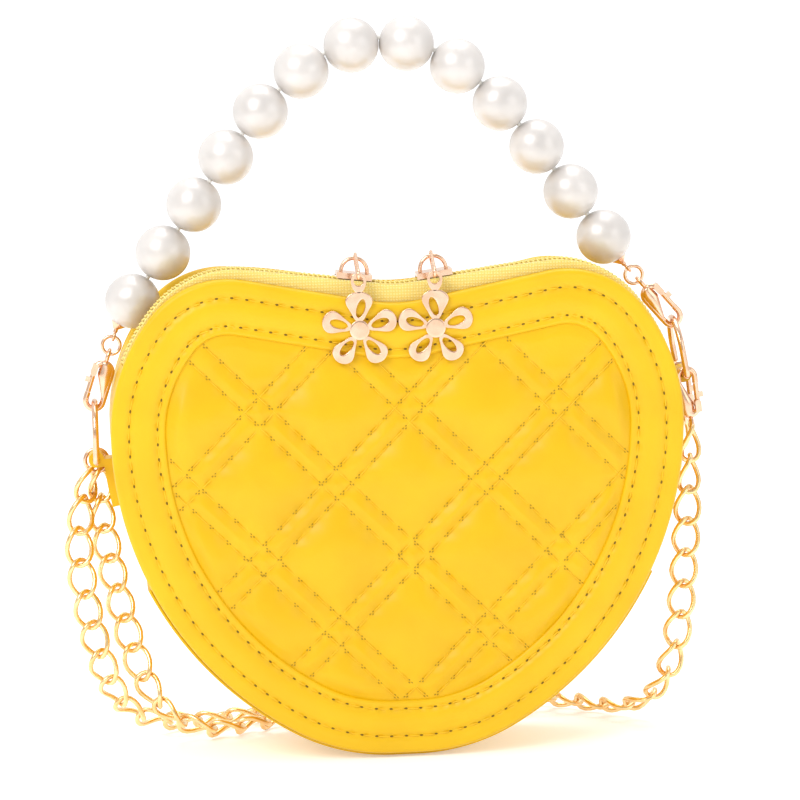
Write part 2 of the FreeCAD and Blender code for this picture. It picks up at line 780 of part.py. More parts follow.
def sub_parts():
    """Every sub-part by its node name."""
    right_gusset, right_slider = side_gusset(), slider()
    right_link, right_flower = pull_link(), pull_flower()
    body, lever = clasp_body(), clasp_lever()
    parts = {
        "front_border": front_border(),
        "front_quilt_panel": front_quilt_panel(),
        "front_board": plate(turned_edge, rim_back, board_back),
        "front_lining": plate(turned_edge, board_back, panel_back),
        "back_panel": back_panel(),
        "back_board": plate(turned_edge, back_board_face, back_plate),
        "back_lining": plate(turned_edge, back_inside, back_board_face),
        "side_gusset_left": mirrored(right_gusset),
        "side_gusset_right": right_gusset,
        "base_gusset": base_gusset(),
        "base_board": base_board(),
        "gusset_lining": gusset_lining(),
        "top_gusset": top_gusset(),
        "zip_tape_front": zip_tape_front(),
        "zip_tape_back": zip_tape_back(),
        "zip_coil_front": zip_coil(-1),
        "zip_coil_back": zip_coil(1),
        "slider_left": mirrored(right_slider),
        "slider_right": right_slider,
        "pull_link_left": mirrored(right_link),
        "pull_link_right": right_link,
        "pull_flower_left": mirrored(right_flower),
        "pull_flower_right": right_flower,
        "side_tab_left": side_tab(-1, tab_height_left),
        "side_tab_right": side_tab(1, tab_height_right),
        "d_ring_left": d_ring(-1, tab_height_left, d_lean_left),
        "d_ring_right": d_ring(1, tab_height_right, d_lean_right),
        "handle_cord": handle_cord(),
        "chain_turn_ring": chain_turn_ring(),
        "chain_strand_outer": chain_strand(outer_route, -turn_spread, -1),
        "chain_strand_inner": chain_strand(inner_route, turn_spread, 1),
    }
    for index in range(pearl_count):
        parts[f"pearl_{index + 1:02d}"] = pearl(index)
    for name, end in (("left", -1), ("right", 1)):
        parts[f"handle_clasp_{name}"] = handle_piece(body, end)
        parts[f"handle_lever_{name}"] = handle_piece(lever, end)
        parts[f"handle_ring_{name}"] = handle_ring(end)
        parts[f"handle_end_{name}"] = handle_end(end)
    for name, end in (("front", -1), ("back", 1)):
        parts[f"chain_clasp_{name}"] = chain_piece(body, end)
        parts[f"chain_lever_{name}"] = chain_piece(lever, end)
    return parts


if __name__ == "__main__":
    os.makedirs("parts", exist_ok=True)
    for node, shape in sub_parts().items():
        solids = shape.Solids
        print(f"{node}: {len(solids)} solids, {sum(s.Volume for s in solids):.1f} mm3, valid {shape.isValid()}")
        shape.exportStep(f"parts/{node}.step")
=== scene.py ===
# %% [markdown]
# A heart shaped purse, dressed piece by piece in the frame of the solid model: x to the viewer's right, the
# quilted front faces -y, z up from the table. The solids bring the rigid pieces. Leather, cloth, stitching,
# chain and the two cast flowers are worked out here as grids of points, in millimetres, and become metres
# when a mesh is made. Lights and camera are placed in metres.

# %% load the frame
import bpy
import numpy as np
from mathutils import Matrix, Vector


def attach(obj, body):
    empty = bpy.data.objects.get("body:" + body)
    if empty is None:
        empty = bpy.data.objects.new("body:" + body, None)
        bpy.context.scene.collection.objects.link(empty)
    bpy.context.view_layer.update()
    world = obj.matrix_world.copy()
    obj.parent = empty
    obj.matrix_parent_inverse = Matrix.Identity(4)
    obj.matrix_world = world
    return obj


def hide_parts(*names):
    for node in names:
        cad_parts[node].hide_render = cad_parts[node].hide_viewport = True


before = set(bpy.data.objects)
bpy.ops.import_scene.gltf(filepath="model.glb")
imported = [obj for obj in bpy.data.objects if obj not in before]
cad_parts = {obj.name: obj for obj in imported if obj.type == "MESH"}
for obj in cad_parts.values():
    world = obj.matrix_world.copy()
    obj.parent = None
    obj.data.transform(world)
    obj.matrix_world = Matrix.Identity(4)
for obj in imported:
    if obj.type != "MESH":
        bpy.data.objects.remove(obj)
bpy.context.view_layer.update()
MM = 0.001

# %% [markdown]
# The picture is a product shot from a little above and a little to the left, with a long lens. A camera
# could be set by eye. Here its three angles and its aim on the purse's front face are named values, and the
# number of pixels to a metre there fixes the lens, so that each can be corrected alone.

# %% camera
VIEW_YAW, VIEW_DROP, VIEW_ROLL = np.radians((5.0, 8.0, -1.3))
VIEW_DISTANCE = 1.1
PICTURE_PIXELS, PIXELS_PER_METRE = 800, 3241
SENSOR = 36.0
AIM = np.array((0.3, -22.0, 113.1)) * MM


def aimed(place, direction):
    """Matrix that moves an object to a place and turns its -z axis along a direction, with its y axis up."""
    return Matrix.Translation(place) @ Vector(direction).to_track_quat("-Z", "Y").to_matrix().to_4x4()


look = np.array((np.sin(VIEW_YAW) * np.cos(VIEW_DROP),
                 np.cos(VIEW_YAW) * np.cos(VIEW_DROP),
                 -np.sin(VIEW_DROP)))
camera_data = bpy.data.cameras.new("product_camera")
camera_data.sensor_width = SENSOR
camera_data.lens = SENSOR * VIEW_DISTANCE / (PICTURE_PIXELS / PIXELS_PER_METRE)
camera = bpy.data.objects.new("product_camera", camera_data)
bpy.context.scene.collection.objects.link(camera)
camera.matrix_world = aimed(AIM - look * VIEW_DISTANCE, look) @ Matrix.Rotation(VIEW_ROLL, 4, "Z")
bpy.context.scene.camera = camera
print("lens", round(camera_data.lens, 1), "mm")

# %% [markdown]
# A white sweep under soft boxes: a broad key from the upper left, a weaker fill on the right, one from above,
# and a pale world that lifts the shadows the way a light tent does. The tent could be built as walls. A world
# whose strength follows the direction gives the same light, and no wall stands in the picture.

# %% studio
PURSE_MIDDLE = (0, 0, 0.1)
SWEEP_HALF = 40.0
TENT_FADE = {"From Min": -0.6, "From Max": 0.25, "To Min": 0.58, "To Max": 1.02}


def soft_box(name, place, size, watts):
    """Square area light at a place, turned towards the middle of the purse."""
    data = bpy.data.lights.new(name, "AREA")
    data.size, data.energy = size, watts
    lamp = bpy.data.objects.new(name, data)
    lamp.matrix_world = aimed(place, Vector(PURSE_MIDDLE) - Vector(place))
    bpy.context.scene.collection.objects.link(lamp)
    return lamp


def light_tent():
    """World that is white behind the purse and dimmer behind the camera, by the y part of the direction."""
    made = bpy.data.worlds.new("light_tent")
    made.use_nodes = True
    tree = made.node_tree
    heading, parts = tree.nodes.new("ShaderNodeTexCoord"), tree.nodes.new("ShaderNodeSeparateXYZ")
    fade = tree.nodes.new("ShaderNodeMapRange")
    fade.interpolation_type = "SMOOTHSTEP"
    for name, value in TENT_FADE.items():
        fade.inputs[name].default_value = value
    tree.links.new(heading.outputs["Generated"], parts.inputs["Vector"])
    tree.links.new(parts.outputs["Y"], fade.inputs["Value"])
    tree.links.new(fade.outputs["Result"], tree.nodes["Background"].inputs["Strength"])
    tree.nodes["Background"].inputs["Color"].default_value = (1, 1, 1, 1)
    return made


lamps = [soft_box("key_box", (-0.7, -0.9, 1.0), 0.7, 10.5),
         soft_box("fill_box", (0.9, -0.8, 0.5), 0.7, 2),
         soft_box("top_box", (0.1, 0.3, 1.3), 0.8, 7)]
bpy.context.scene.world = light_tent()
bpy.context.scene.view_settings.view_transform = "Standard"
sweep = bpy.data.meshes.new("paper_sweep")
corners = SWEEP_HALF * np.array([(-1, -1, 0), (1, -1, 0), (1, 1, 0), (-1, 1, 0)])
sweep.from_pydata(corners, [], [(0, 1, 2, 3)])
paper = bpy.data.objects.new("paper_sweep", sweep)
bpy.context.scene.collection.objects.link(paper)
print(len(lamps), "soft boxes over a sweep of", 2 * SWEEP_HALF, "m")

# %% [markdown]
# Colours are picked as they look on a screen and turned into the linear values that shaders use. Leather
# could carry a picture of its grain. A shader group makes it instead, from small cells for the pebbling and
# slow noise for the hand-made unevenness, so it has no seams and fits every piece alike.

# %% colour and finish helpers
PEBBLE_SHARE = 0.35


def linear(code):
    """Screen colour such as FFD23A as linear red, green, blue and opacity."""
    screen = np.array([int(code[i:i + 2], 16) for i in (0, 2, 4)]) / 255
    value = np.where(screen <= 0.04045, screen / 12.92, ((screen + 0.055) / 1.055) ** 2.4)
    return (*value, 1.0)


def add(tree, kind, **settings):
    """New node of a kind, with its input sockets set by name."""
    node = tree.nodes.new(kind)
    for name, value in settings.items():
        node.inputs[name.replace("_", " ")].default_value = value
    return node


def new_group(name, inputs, outputs):
    """Empty shader group with float inputs, each a name and a default, and float outputs."""
    tree = bpy.data.node_groups.new(name, "ShaderNodeTree")
    for label, value in inputs:
        tree.interface.new_socket(label, in_out="INPUT", socket_type="NodeSocketFloat").default_value = value
    for label in outputs:
        tree.interface.new_socket(label, in_out="OUTPUT", socket_type="NodeSocketFloat")
    return tree, tree.nodes.new("NodeGroupInput"), tree.nodes.new("NodeGroupOutput")


def leather_grain():
    """Height as a share of the cell distance plus slow noise, and a tone mask from the slow noise alone."""
    tree, given, out = new_group("leather_grain", [("Pebble size", 900.0), ("Unevenness", 60.0)],
                                 ["Height", "Tone"])
    place = tree.nodes.new("ShaderNodeTexCoord")
    cells = tree.nodes.new("ShaderNodeTexVoronoi")
    slow = add(tree, "ShaderNodeTexNoise", Detail=3.0)
    mix = tree.nodes.new("ShaderNodeMath")
    mix.operation = "MULTIPLY_ADD"
    mix.inputs[1].default_value = PEBBLE_SHARE
    tree.links.new(place.outputs["Object"], cells.inputs["Vector"])
    tree.links.new(place.outputs["Object"], slow.inputs["Vector"])
    tree.links.new(given.outputs["Pebble size"], cells.inputs["Scale"])
    tree.links.new(given.outputs["Unevenness"], slow.inputs["Scale"])
    tree.links.new(cells.outputs["Distance"], mix.inputs[0])
    tree.links.new(slow.outputs["Fac"], mix.inputs[2])
    tree.links.new(mix.outputs[0], out.inputs["Height"])
    tree.links.new(slow.outputs["Fac"], out.inputs["Tone"])
    return tree


GRAIN = leather_grain()
print("grain group with", len(GRAIN.nodes), "nodes")

# %% material builders
def plain(name, colour, **sockets):
    """Material with one Principled shader, its sockets set by name, and the tree to add to."""
    made = bpy.data.materials.new(name)
    made.use_nodes = True
    shader = made.node_tree.nodes["Principled BSDF"]
    shader.inputs["Base Color"].default_value = linear(colour)
    for label, value in sockets.items():
        shader.inputs[label.replace("_", " ")].default_value = value
    return made, made.node_tree, shader


def bump(tree, shader, height, strength, distance):
    """Joins a height to the shader's normal."""
    node = add(tree, "ShaderNodeBump", Strength=strength, Distance=distance)
    tree.links.new(height, node.inputs["Height"])
    tree.links.new(node.outputs["Normal"], shader.inputs["Normal"])


def two_tones(tree, shader, mask, low, high, start=0.3, end=0.7):
    """Base colour that runs from low to high as the mask goes from start to end."""
    ramp = tree.nodes.new("ShaderNodeValToRGB")
    for stop, place, colour in zip(ramp.color_ramp.elements, (start, end), (low, high)):
        stop.position, stop.color = place, linear(colour)
    tree.links.new(mask, ramp.inputs["Fac"])
    tree.links.new(ramp.outputs["Color"], shader.inputs["Base Color"])


def clouds(tree, scale):
    """Slow noise on object coordinates, given as the socket of its value."""
    place = tree.nodes.new("ShaderNodeTexCoord")
    noise = add(tree, "ShaderNodeTexNoise", Scale=scale, Detail=2.0)
    tree.links.new(place.outputs["Object"], noise.inputs["Vector"])
    return noise.outputs["Fac"]


def leather(name, low, high, roughness, pebble, depth):
    """Coated leather: two close tones, pebbled bump and a soft gloss."""
    made, tree, shader = plain(name, high, Roughness=roughness, Specular_IOR_Level=0.34)
    grain = tree.nodes.new("ShaderNodeGroup")
    grain.node_tree = GRAIN
    grain.inputs["Pebble size"].default_value = pebble
    two_tones(tree, shader, grain.outputs["Tone"], low, high)
    bump(tree, shader, grain.outputs["Height"], 0.35, depth)
    return made


def metal(name, low, high, roughness):
    """Polished plated metal with a faint cloudiness in its colour and surface."""
    made, tree, shader = plain(name, high, Metallic=1.0, Roughness=roughness)
    cloud = clouds(tree, 260.0)
    two_tones(tree, shader, cloud, low, high)
    bump(tree, shader, cloud, 0.08, 0.0002)
    return made


BORDER_LEATHER = leather("border_leather", "DDAF06", "E4B80C", 0.40, 1100.0, 0.0001)
QUILT_LEATHER = leather("quilt_leather", "DBAC02", "E3B404", 0.40, 1100.0, 0.00012)
ROSE_GOLD = metal("rose_gold_plate", "E6BC9C", "F3D0B4", 0.22)
CHAIN_GOLD = metal("chain_gold_plate", "F0C888", "FFE0AC", 0.26)
PAPER = plain("white_paper", "F4F4F4", Roughness=0.9, Emission_Color=(1, 1, 1, 1), Emission_Strength=0.3)[0]
paper.data.materials.append(PAPER)
print("leather, metal and paper finishes made")

# %% [markdown]
# The heart is one smooth line of tangent arcs, the same as in the solid model. It could be a drawn curve, but
# arcs keep its few radii honest. Walking along it by length gives a point and an outward direction, so any
# sewn layer is that line stepped in or out and moved in depth.

# %% heart outline
HALF_WIDTH, WIDEST, BASE_HALF, FOOT = 89.0, 104.0, 4.0, 1.4
BASE_TURN, SHOULDER_TURN = np.radians((30.0, 130.0))
APEX_X, APEX_Z, VALLEY_RADIUS = 52.5, 152.0, 40.0
RIDGE_RISE, PANEL_VALLEY, RIDGE_VALLEY = 3.0, 11.0, 7.5


class HeartLine:
    """Half outline as line, four arcs, slope and valley arc.

    Each arc point is the arc's centre plus its radius times the heading there."""

    def __init__(self, apex, valley_degrees):
        """Solves the radii of two pairs of arcs from the rise and the reach that each pair spans."""
        valley = np.radians(valley_degrees)
        rise, reach = WIDEST - FOOT, HALF_WIDTH - BASE_HALF
        s, c = np.sin(BASE_TURN), np.cos(BASE_TURN)
        low, side = np.linalg.solve([[1 - c, c], [s, 1 - s]], [rise, reach])
        rise, reach = apex - WIDEST, HALF_WIDTH - APEX_X
        s, c = np.sin(SHOULDER_TURN), np.cos(SHOULDER_TURN)
        shoulder, lobe = np.linalg.solve([[-c, 1 + c], [1 - s, s]], [rise, reach])
        turns = (0, BASE_TURN, np.pi / 2, SHOULDER_TURN, np.pi + valley)
        radii = (low, side, shoulder, lobe)
        centres = ((BASE_HALF, FOOT + low), (HALF_WIDTH - side, WIDEST),
                   (HALF_WIDTH - shoulder, WIDEST), (APEX_X, apex - lobe))
        self.arcs = list(zip(centres, radii, turns, turns[1:]))
        self.lobe_end = np.array(centres[3]) + lobe * np.array((-np.sin(valley), np.cos(valley)))
        slope_length = (self.lobe_end[0] - VALLEY_RADIUS * np.sin(valley)) / np.cos(valley)
        dip_z = self.lobe_end[1] - slope_length * np.sin(valley)
        self.dip_centre = np.array((0, dip_z + VALLEY_RADIUS * np.cos(valley)))
        self.valley = valley
        arc_lengths = [radius * (last - first) for _, radius, first, last in self.arcs]
        self.marks = np.cumsum([0, BASE_HALF, *arc_lengths, slope_length, VALLEY_RADIUS * valley])
        self.half = self.marks[-1]

    def right(self, length):
        """Points and outward directions at these lengths from the foot, along the right half."""
        point, out = np.zeros((len(length), 2)), np.zeros((len(length), 2))
        on = length <= self.marks[1]
        point[on], out[on] = np.stack((length[on], np.full(on.sum(), FOOT)), 1), (0, -1)
        for k, (centre, radius, first, _) in enumerate(self.arcs):
            on = (length > self.marks[k + 1]) & (length <= self.marks[k + 2])
            turn = first + (length[on] - self.marks[k + 1]) / radius
            out[on] = np.stack((np.sin(turn), -np.cos(turn)), 1)
            point[on] = np.array(centre) + radius * out[on]
        on = (length > self.marks[5]) & (length <= self.marks[6])
        back = np.array((-np.cos(self.valley), -np.sin(self.valley)))
        point[on] = self.lobe_end + np.outer(length[on] - self.marks[5], back)
        out[on] = (-np.sin(self.valley), np.cos(self.valley))
        on = length > self.marks[6]
        turn = self.valley - (length[on] - self.marks[6]) / VALLEY_RADIUS
        out[on] = np.stack((-np.sin(turn), np.cos(turn)), 1)
        point[on] = self.dip_centre - VALLEY_RADIUS * out[on]
        return point, out

    def walk(self, length):
        """The same along the whole line: its left half is the right one, mirrored and walked backwards."""
        length = np.mod(np.asarray(length, float), 2 * self.half)
        left = length > self.half
        point, out = self.right(np.where(left, 2 * self.half - length, length))
        mirror = np.stack((np.where(left, -1.0, 1.0), np.ones(len(left))), 1)
        return point * mirror, out * mirror


PANEL = HeartLine(APEX_Z, PANEL_VALLEY)
RIDGE = HeartLine(APEX_Z + RIDGE_RISE, RIDGE_VALLEY)
print("outline", round(2 * PANEL.half, 1), "mm round")

# %% mesh helpers
RIPPLE_WAVES = 8


def make_object(name, points, faces, material, body="purse"):
    """Smooth mesh object from points in millimetres, riding on a body."""
    mesh = bpy.data.meshes.new(name)
    mesh.from_pydata(np.asarray(points) * MM, [], faces if isinstance(faces, list) else faces.tolist())
    mesh.polygons.foreach_set("use_smooth", np.ones(len(mesh.polygons), bool))
    mesh.materials.append(material)
    mesh.update()
    made = bpy.data.objects.new(name, mesh)
    bpy.context.scene.collection.objects.link(made)
    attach(made, body)
    return made


def grid_faces(rows, columns, close_rows=False, close_columns=False):
    """Quads of a grid of points stored row by row, each way open or closed on itself."""
    i = np.arange(rows if close_rows else rows - 1)
    j = np.arange(columns if close_columns else columns - 1)
    i, j = np.meshgrid(i, j, indexing="ij")
    i2, j2 = (i + 1) % rows, (j + 1) % columns
    corners = (i * columns + j, i * columns + j2, i2 * columns + j2, i2 * columns + j)
    return np.stack(corners, -1).reshape(-1, 4)


def fan(first, count, tip):
    """Triangles from a ring of points, numbered on from the first, to one tip."""
    ring = first + np.arange(count)
    return np.stack((ring, np.roll(ring, -1), np.full(count, tip)), 1)


def face_list(*parts):
    """Arrays of quads and of triangles as one list of faces."""
    return [face for part in parts for face in part.tolist()]


def unit(vectors):
    """Directions of length one."""
    return vectors / np.linalg.norm(vectors, axis=-1, keepdims=True)


def circle(steps):
    """Angles at even steps once round."""
    return np.linspace(0, 2 * np.pi, steps, endpoint=False)


def round_panel(steps):
    """Lengths at even steps once round the panel's heart line."""
    return np.linspace(0, 2 * PANEL.half, steps, endpoint=False)


def measured(line):
    """Length walked to each point of a polyline, and a function that gives the places at any lengths."""
    walked = np.concatenate(([0], np.cumsum(np.linalg.norm(np.diff(line, axis=0), axis=1))))
    return walked, lambda where: np.stack([np.interp(where, walked, line[:, k]) for k in range(3)], 1)


def ripple(a, b, seed):
    """Smooth unevenness in two directions: a sum of eight slow waves with fixed random headings."""
    rng = np.random.default_rng(seed)
    heading, phase = rng.uniform(0, 2 * np.pi, RIPPLE_WAVES), rng.uniform(0, 2 * np.pi, RIPPLE_WAVES)
    pace = rng.uniform(0.5, 2.0, RIPPLE_WAVES)
    waves = [np.sin(p * (a * np.cos(h) + b * np.sin(h)) + f) for h, p, f in zip(heading, pace, phase)]
    return 2 * np.sum(waves, 0) / RIPPLE_WAVES


def smooth_step(value):
    """0 below 0, 1 above 1, and an S between."""
    value = np.clip(value, 0, 1)
    return value * value * (3 - 2 * value)


def scatter(template, faces, origins, along, across, out):
    """Copies of one small shape, each with its own place and three directions, joined in one mesh."""
    x, y, z = (template[None, :, k, None] for k in range(3))
    points = origins[:, None] + x * along[:, None] + y * across[:, None] + z * out[:, None]
    steps = np.arange(len(origins))[:, None, None] * len(template)
    return points.reshape(-1, 3), (faces[None] + steps).reshape(-1, faces.shape[1])


print("a grid of 3 by 4 points has", len(grid_faces(3, 4)), "quads")

# %% [markdown]
# The front border is a strip of leather folded over at its inner edge and sewn down by two rows of stitches.
# A bevelled solid would look pressed, so a cross section is carried round the heart: rolled edges, a furrow
# that each stitch pulls deeper, and a slight swell between the rows.

# %% front border
FRONT, BORDER = -22.0, 17.0
OUTER_ROLL, INNER_ROLL = 1.5, 1.1
LIP_INSET, LIP_DEPTH, BORDER_BACK = 1.15, -17.95, -20.65
BORDER_STEPS, ROLL_STEPS, FACE_STEPS = 1040, 7, 54
ROW_INSETS, STITCH_PITCH = (5.6, 14.2), 4.7
ROW_SWELL, FURROW, STITCH_PULL, FURROW_WIDTH = 0.75, 0.30, 0.28, 0.95


def border_section():
    """Cross section as inset and depth: rolled outer edge, face, rolled inner edge, back and lip."""
    roll = np.linspace(0, np.pi / 2, ROLL_STEPS)
    outer = np.stack((OUTER_ROLL - OUTER_ROLL * np.cos(roll),
                      FRONT + OUTER_ROLL - OUTER_ROLL * np.sin(roll)), 1)
    face = np.stack((np.linspace(2.0, BORDER - 1.4, FACE_STEPS), np.full(FACE_STEPS, FRONT)), 1)
    inner = np.stack((BORDER - INNER_ROLL + INNER_ROLL * np.sin(roll),
                      FRONT + INNER_ROLL - INNER_ROLL * np.cos(roll)), 1)
    back = ((BORDER - 0.2, -20.75), (BORDER - 2.5, BORDER_BACK), (LIP_INSET, BORDER_BACK),
            (LIP_INSET, LIP_DEPTH), (0.0, LIP_DEPTH))
    return np.concatenate((outer, face, inner, back))


def border_points():
    """The section carried round the heart, with its face moved in depth.

    The swell is half a sine between the rows, a furrow is a bell curve whose depth pulses with the stitches,
    and slow and quicker ripples are added."""
    section = border_section()
    lengths = round_panel(BORDER_STEPS)
    along = lengths[:, None]
    inset, depth = np.broadcast_to(section[:, 0], (BORDER_STEPS, len(section))), section[None, :, 1]
    face = smooth_step((inset - 0.6) / 2) * smooth_step((BORDER - 0.3 - inset) / 1.5) * (depth < -20.8)
    between = np.clip((inset - ROW_INSETS[0]) / (ROW_INSETS[1] - ROW_INSETS[0]), 0, 1)
    pulse = FURROW + STITCH_PULL * np.cos(np.pi * along / STITCH_PITCH) ** 2
    furrow = sum(pulse * np.exp(-((inset - row) / FURROW_WIDTH) ** 2) for row in ROW_INSETS)
    crease = 0.16 * ripple(along / 14, inset / 5, 3) + 0.08 * ripple(along / 4, inset / 3, 5)
    depth = depth + face * (furrow - ROW_SWELL * np.sin(np.pi * between) + crease)
    point, out = PANEL.walk(lengths)
    flat = point[:, None] - inset[..., None] * out[:, None]
    return np.stack((flat[..., 0], depth, flat[..., 1]), -1)


border_grid = border_points()
border_faces = grid_faces(*border_grid.shape[:2], True, True)[:, ::-1]
border = make_object("border_frame", border_grid.reshape(-1, 3), border_faces, BORDER_LEATHER)
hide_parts("front_border")
print("border", len(border.data.polygons), "faces")

# %% [markdown]
# Each stitch is a short bar of thread lying in its furrow between two needle holes. Stitches could be painted
# on, but thread that stands up catches the light. One bar and one small dark mark at the hole are made, the
# mark's colour painted shade that stands for the shade inside the hole, and numpy copies them along a row by
# adding the row's points and directions to the small shape.

# %% border stitching
THREAD_YELLOW = plain("thread_yellow", "E9B90E", Roughness=0.6)[0]
# Needle-hole marks: their dark colour is painted shade, the shade that falls inside each hole.
NEEDLE_HOLE_SHADE = plain("needle_hole_shade", "745808", Roughness=0.8)[0]
BORDER_BAR, BORDER_HOLE, THREAD_LIFT = (3.2, 0.28), (1.0, 0.28), 0.06
END_ANGLE = 0.12


def round_bar(length, radius, sides=6, rings=7):
    """Bar along x: rings of points whose radius follows half an ellipse and draws in almost to points."""
    turn = circle(sides)
    swing = np.linspace(END_ANGLE, np.pi - END_ANGLE, rings)
    along = -0.5 * length * np.cos(swing)
    girth = radius * np.sin(swing) ** 0.6
    across, out = np.outer(girth, np.cos(turn)).ravel(), np.outer(girth, np.sin(turn)).ravel()
    return np.stack((np.repeat(along, sides), across, out), 1), grid_faces(rings, sides, close_columns=True)


def along_curve(points, pitch, closed):
    """Evenly spaced places on a polyline, those between them, and directions; the spacing fits the length."""
    walked, at = measured(np.vstack((points, points[:1])) if closed else points)
    count = max(2, int(round(walked[-1] / pitch)))
    marks = np.arange(count) * walked[-1] / count if closed else np.linspace(0, walked[-1], count)
    moved = [marks + share * pitch for share in (0.3, -0.3, 0.5)]
    moved = np.mod(moved, walked[-1]) if closed else np.clip(moved, 0, walked[-1])
    after, before, between = (at(where) for where in moved)
    return at(marks), between, unit(after - before)


def cluster(shape, faces, spread):
    """Copies of a small shape stepped by each pair of offsets along and across, as one shape."""
    steps = np.array([(along, across, 0.0) for along, across in spread])
    points = (shape[None] + steps[:, None]).reshape(-1, 3)
    return points, np.concatenate([faces + k * len(shape) for k in range(len(steps))])


def sew(name, rows, pitch, bar, hole, closed, out=(0, -1, 0), spread=((0.0, 0.0),), dark=NEEDLE_HOLE_SHADE):
    """Bars of thread, and at each needle hole a dark mark of painted shade, along every row, joined into one
    mesh of each.
    """
    kinds = {"thread": (round_bar(*bar), THREAD_YELLOW, []),
             "hole_shade": (cluster(*round_bar(*hole), spread), dark, [])}
    for row in rows:
        places, between, ahead = along_curve(row, pitch, closed)
        kinds["thread"][2].append((between, ahead))
        kinds["hole_shade"][2].append((places, ahead))
    made = []
    for kind, ((shape, faces), material, spots) in kinds.items():
        origins, ahead = (np.concatenate(part) for part in zip(*spots))
        across = unit(np.cross(np.broadcast_to(np.asarray(out, float), ahead.shape), ahead))
        points, quads = scatter(shape, faces, origins, ahead, across, np.cross(ahead, across))
        made.append(make_object(f"{name}_{kind}", points, quads, material))
    return made


face_insets = border_section()[ROLL_STEPS:ROLL_STEPS + FACE_STEPS, 0]
face_columns = [ROLL_STEPS + int(np.argmin(np.abs(face_insets - row))) for row in ROW_INSETS]
border_rows = [border_grid[:, column] + (0, -THREAD_LIFT, 0) for column in face_columns]
border_seams = sew("border_stitch", border_rows, STITCH_PITCH, BORDER_BAR, BORDER_HOLE, True)
print("border stitches on", len(border_rows), "rows, in", len(border_seams), "meshes")

# %% [markdown]
# The front is a padded sheet quilted in diamonds by double rows of stitches. A cloth simulation could swell
# it, but its lattice has to lie as pictured, so its depth is a function of place: distance to the nearest row
# sets how far the padding swells, stitches pull small puckers, and the pad sinks under the border at its
# edge. The grid runs from the border to a middle point like the spokes of a wheel.

# %% quilt lattice
QUILT_STEP, ROW_GAP = 23.2 * np.sqrt(2), 3.3
QUILT_CROSS = np.array((3.2, 110.7))
QUILT_PITCH = 6.5
PAD_MIDDLE, PAD_INSET = np.array((0.0, 80.0)), 15.7
PAD_RIM, EDGE_SWELL, EDGE_SINK = -20.9, 1.2, 5.5
PILLOW_LOFT, PILLOW_SOFT, PILLOW_FULL = 3.2, 6.0, 0.7
FLAT_FROM, FLAT_OVER, LOFT_LOSS, SOFT_LOSS = 106.0, 20.0, 2.35, 3.7
PUCKER, PUCKER_WIDTH = 0.28, 2.2
rim_point, rim_out = PANEL.walk(round_panel(2400))
rim = rim_point - PAD_INSET * rim_out - PAD_MIDDLE
rim_angle = np.arctan2(rim[:, 1], rim[:, 0])
rim_order = np.argsort(rim_angle)


def rim_distance(x, z):
    """Distance left to the pad's rim.

    It is the share left of the spoke, times the distance from the middle to the rim's tangent there."""
    away = np.hypot(x - PAD_MIDDLE[0], z - PAD_MIDDLE[1])
    angle = np.arctan2(z - PAD_MIDDLE[1], x - PAD_MIDDLE[0])
    reach, square = (np.interp(angle, rim_angle[rim_order], values[rim_order], period=2 * np.pi)
                     for values in (np.hypot(*rim.T), np.sum(rim * rim_out, 1)))
    return (1 - away / reach) * square


def row_distance(across):
    """Distance to the nearest of the double rows that cross a diagonal, rounded off at the row itself."""
    from_pair = np.abs(np.mod(across + QUILT_STEP / 2, QUILT_STEP) - QUILT_STEP / 2)
    return np.hypot(np.abs(from_pair - ROW_GAP), 0.7) - 0.6


def quilt_depth(x, z):
    """Depth of the padded face: edge swell, pillows between the stitch rows, puckers and slow crumples.

    The pillows are flatter high up, where the flowers of the two pulls hang and slide."""
    left = rim_distance(x, z)
    right, up = x - QUILT_CROSS[0], z - QUILT_CROSS[1]
    diagonals = ((right + up) / np.sqrt(2), (right - up) / np.sqrt(2))
    near = [row_distance(across) for across in diagonals]
    high = smooth_step((z - FLAT_FROM) / FLAT_OVER)
    loft, soft = PILLOW_LOFT - LOFT_LOSS * high, PILLOW_SOFT - SOFT_LOSS * high
    pillow = loft * (np.tanh(near[0] / soft) * np.tanh(near[1] / soft)) ** PILLOW_FULL
    pucker = sum(np.exp(-(d / PUCKER_WIDTH) ** 2) * (0.5 - 0.5 * np.cos(2 * np.pi * along / QUILT_PITCH))
                 for d, along in zip(near, diagonals[::-1]))
    crumple = 0.22 * ripple(x / 9, z / 9, 11) + 0.12 * ripple(x / 4, z / 4, 12)
    crumple = crumple * np.tanh(np.minimum(near[0], near[1]) / 3) * (1 - 0.4 * high)
    swell = EDGE_SWELL * smooth_step(left / 9) * (1 - 0.9 * high)
    return PAD_RIM - swell - smooth_step(left / EDGE_SINK) * (pillow + PUCKER * pucker + crumple)


print("pillows", round(QUILT_STEP - 2 * ROW_GAP, 1), "mm wide between rows")

# %% quilted front
PAD_ROUND, PAD_SPOKE, PAD_HUB = 720, 128, 0.012


def quilt_grid():
    """Spokes from the pad's rim to its middle, each point at its quilted depth, with a fan at the end."""
    point, out = PANEL.walk(round_panel(PAD_ROUND))
    edge = point - PAD_INSET * out
    share = np.linspace(1, PAD_HUB, PAD_SPOKE)
    flat = PAD_MIDDLE + share[:, None, None] * (edge - PAD_MIDDLE)[None]
    flat = np.vstack((flat.reshape(-1, 2), PAD_MIDDLE))
    tip = len(flat) - 1
    quads = grid_faces(PAD_SPOKE, PAD_ROUND, close_columns=True)
    return (np.stack((flat[:, 0], quilt_depth(*flat.T), flat[:, 1]), 1),
            face_list(quads, fan(tip - PAD_ROUND, PAD_ROUND, tip)))


quilt = make_object("quilted_front", *quilt_grid(), QUILT_LEATHER)
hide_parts("front_quilt_panel")
print("quilt", len(quilt.data.polygons), "faces")
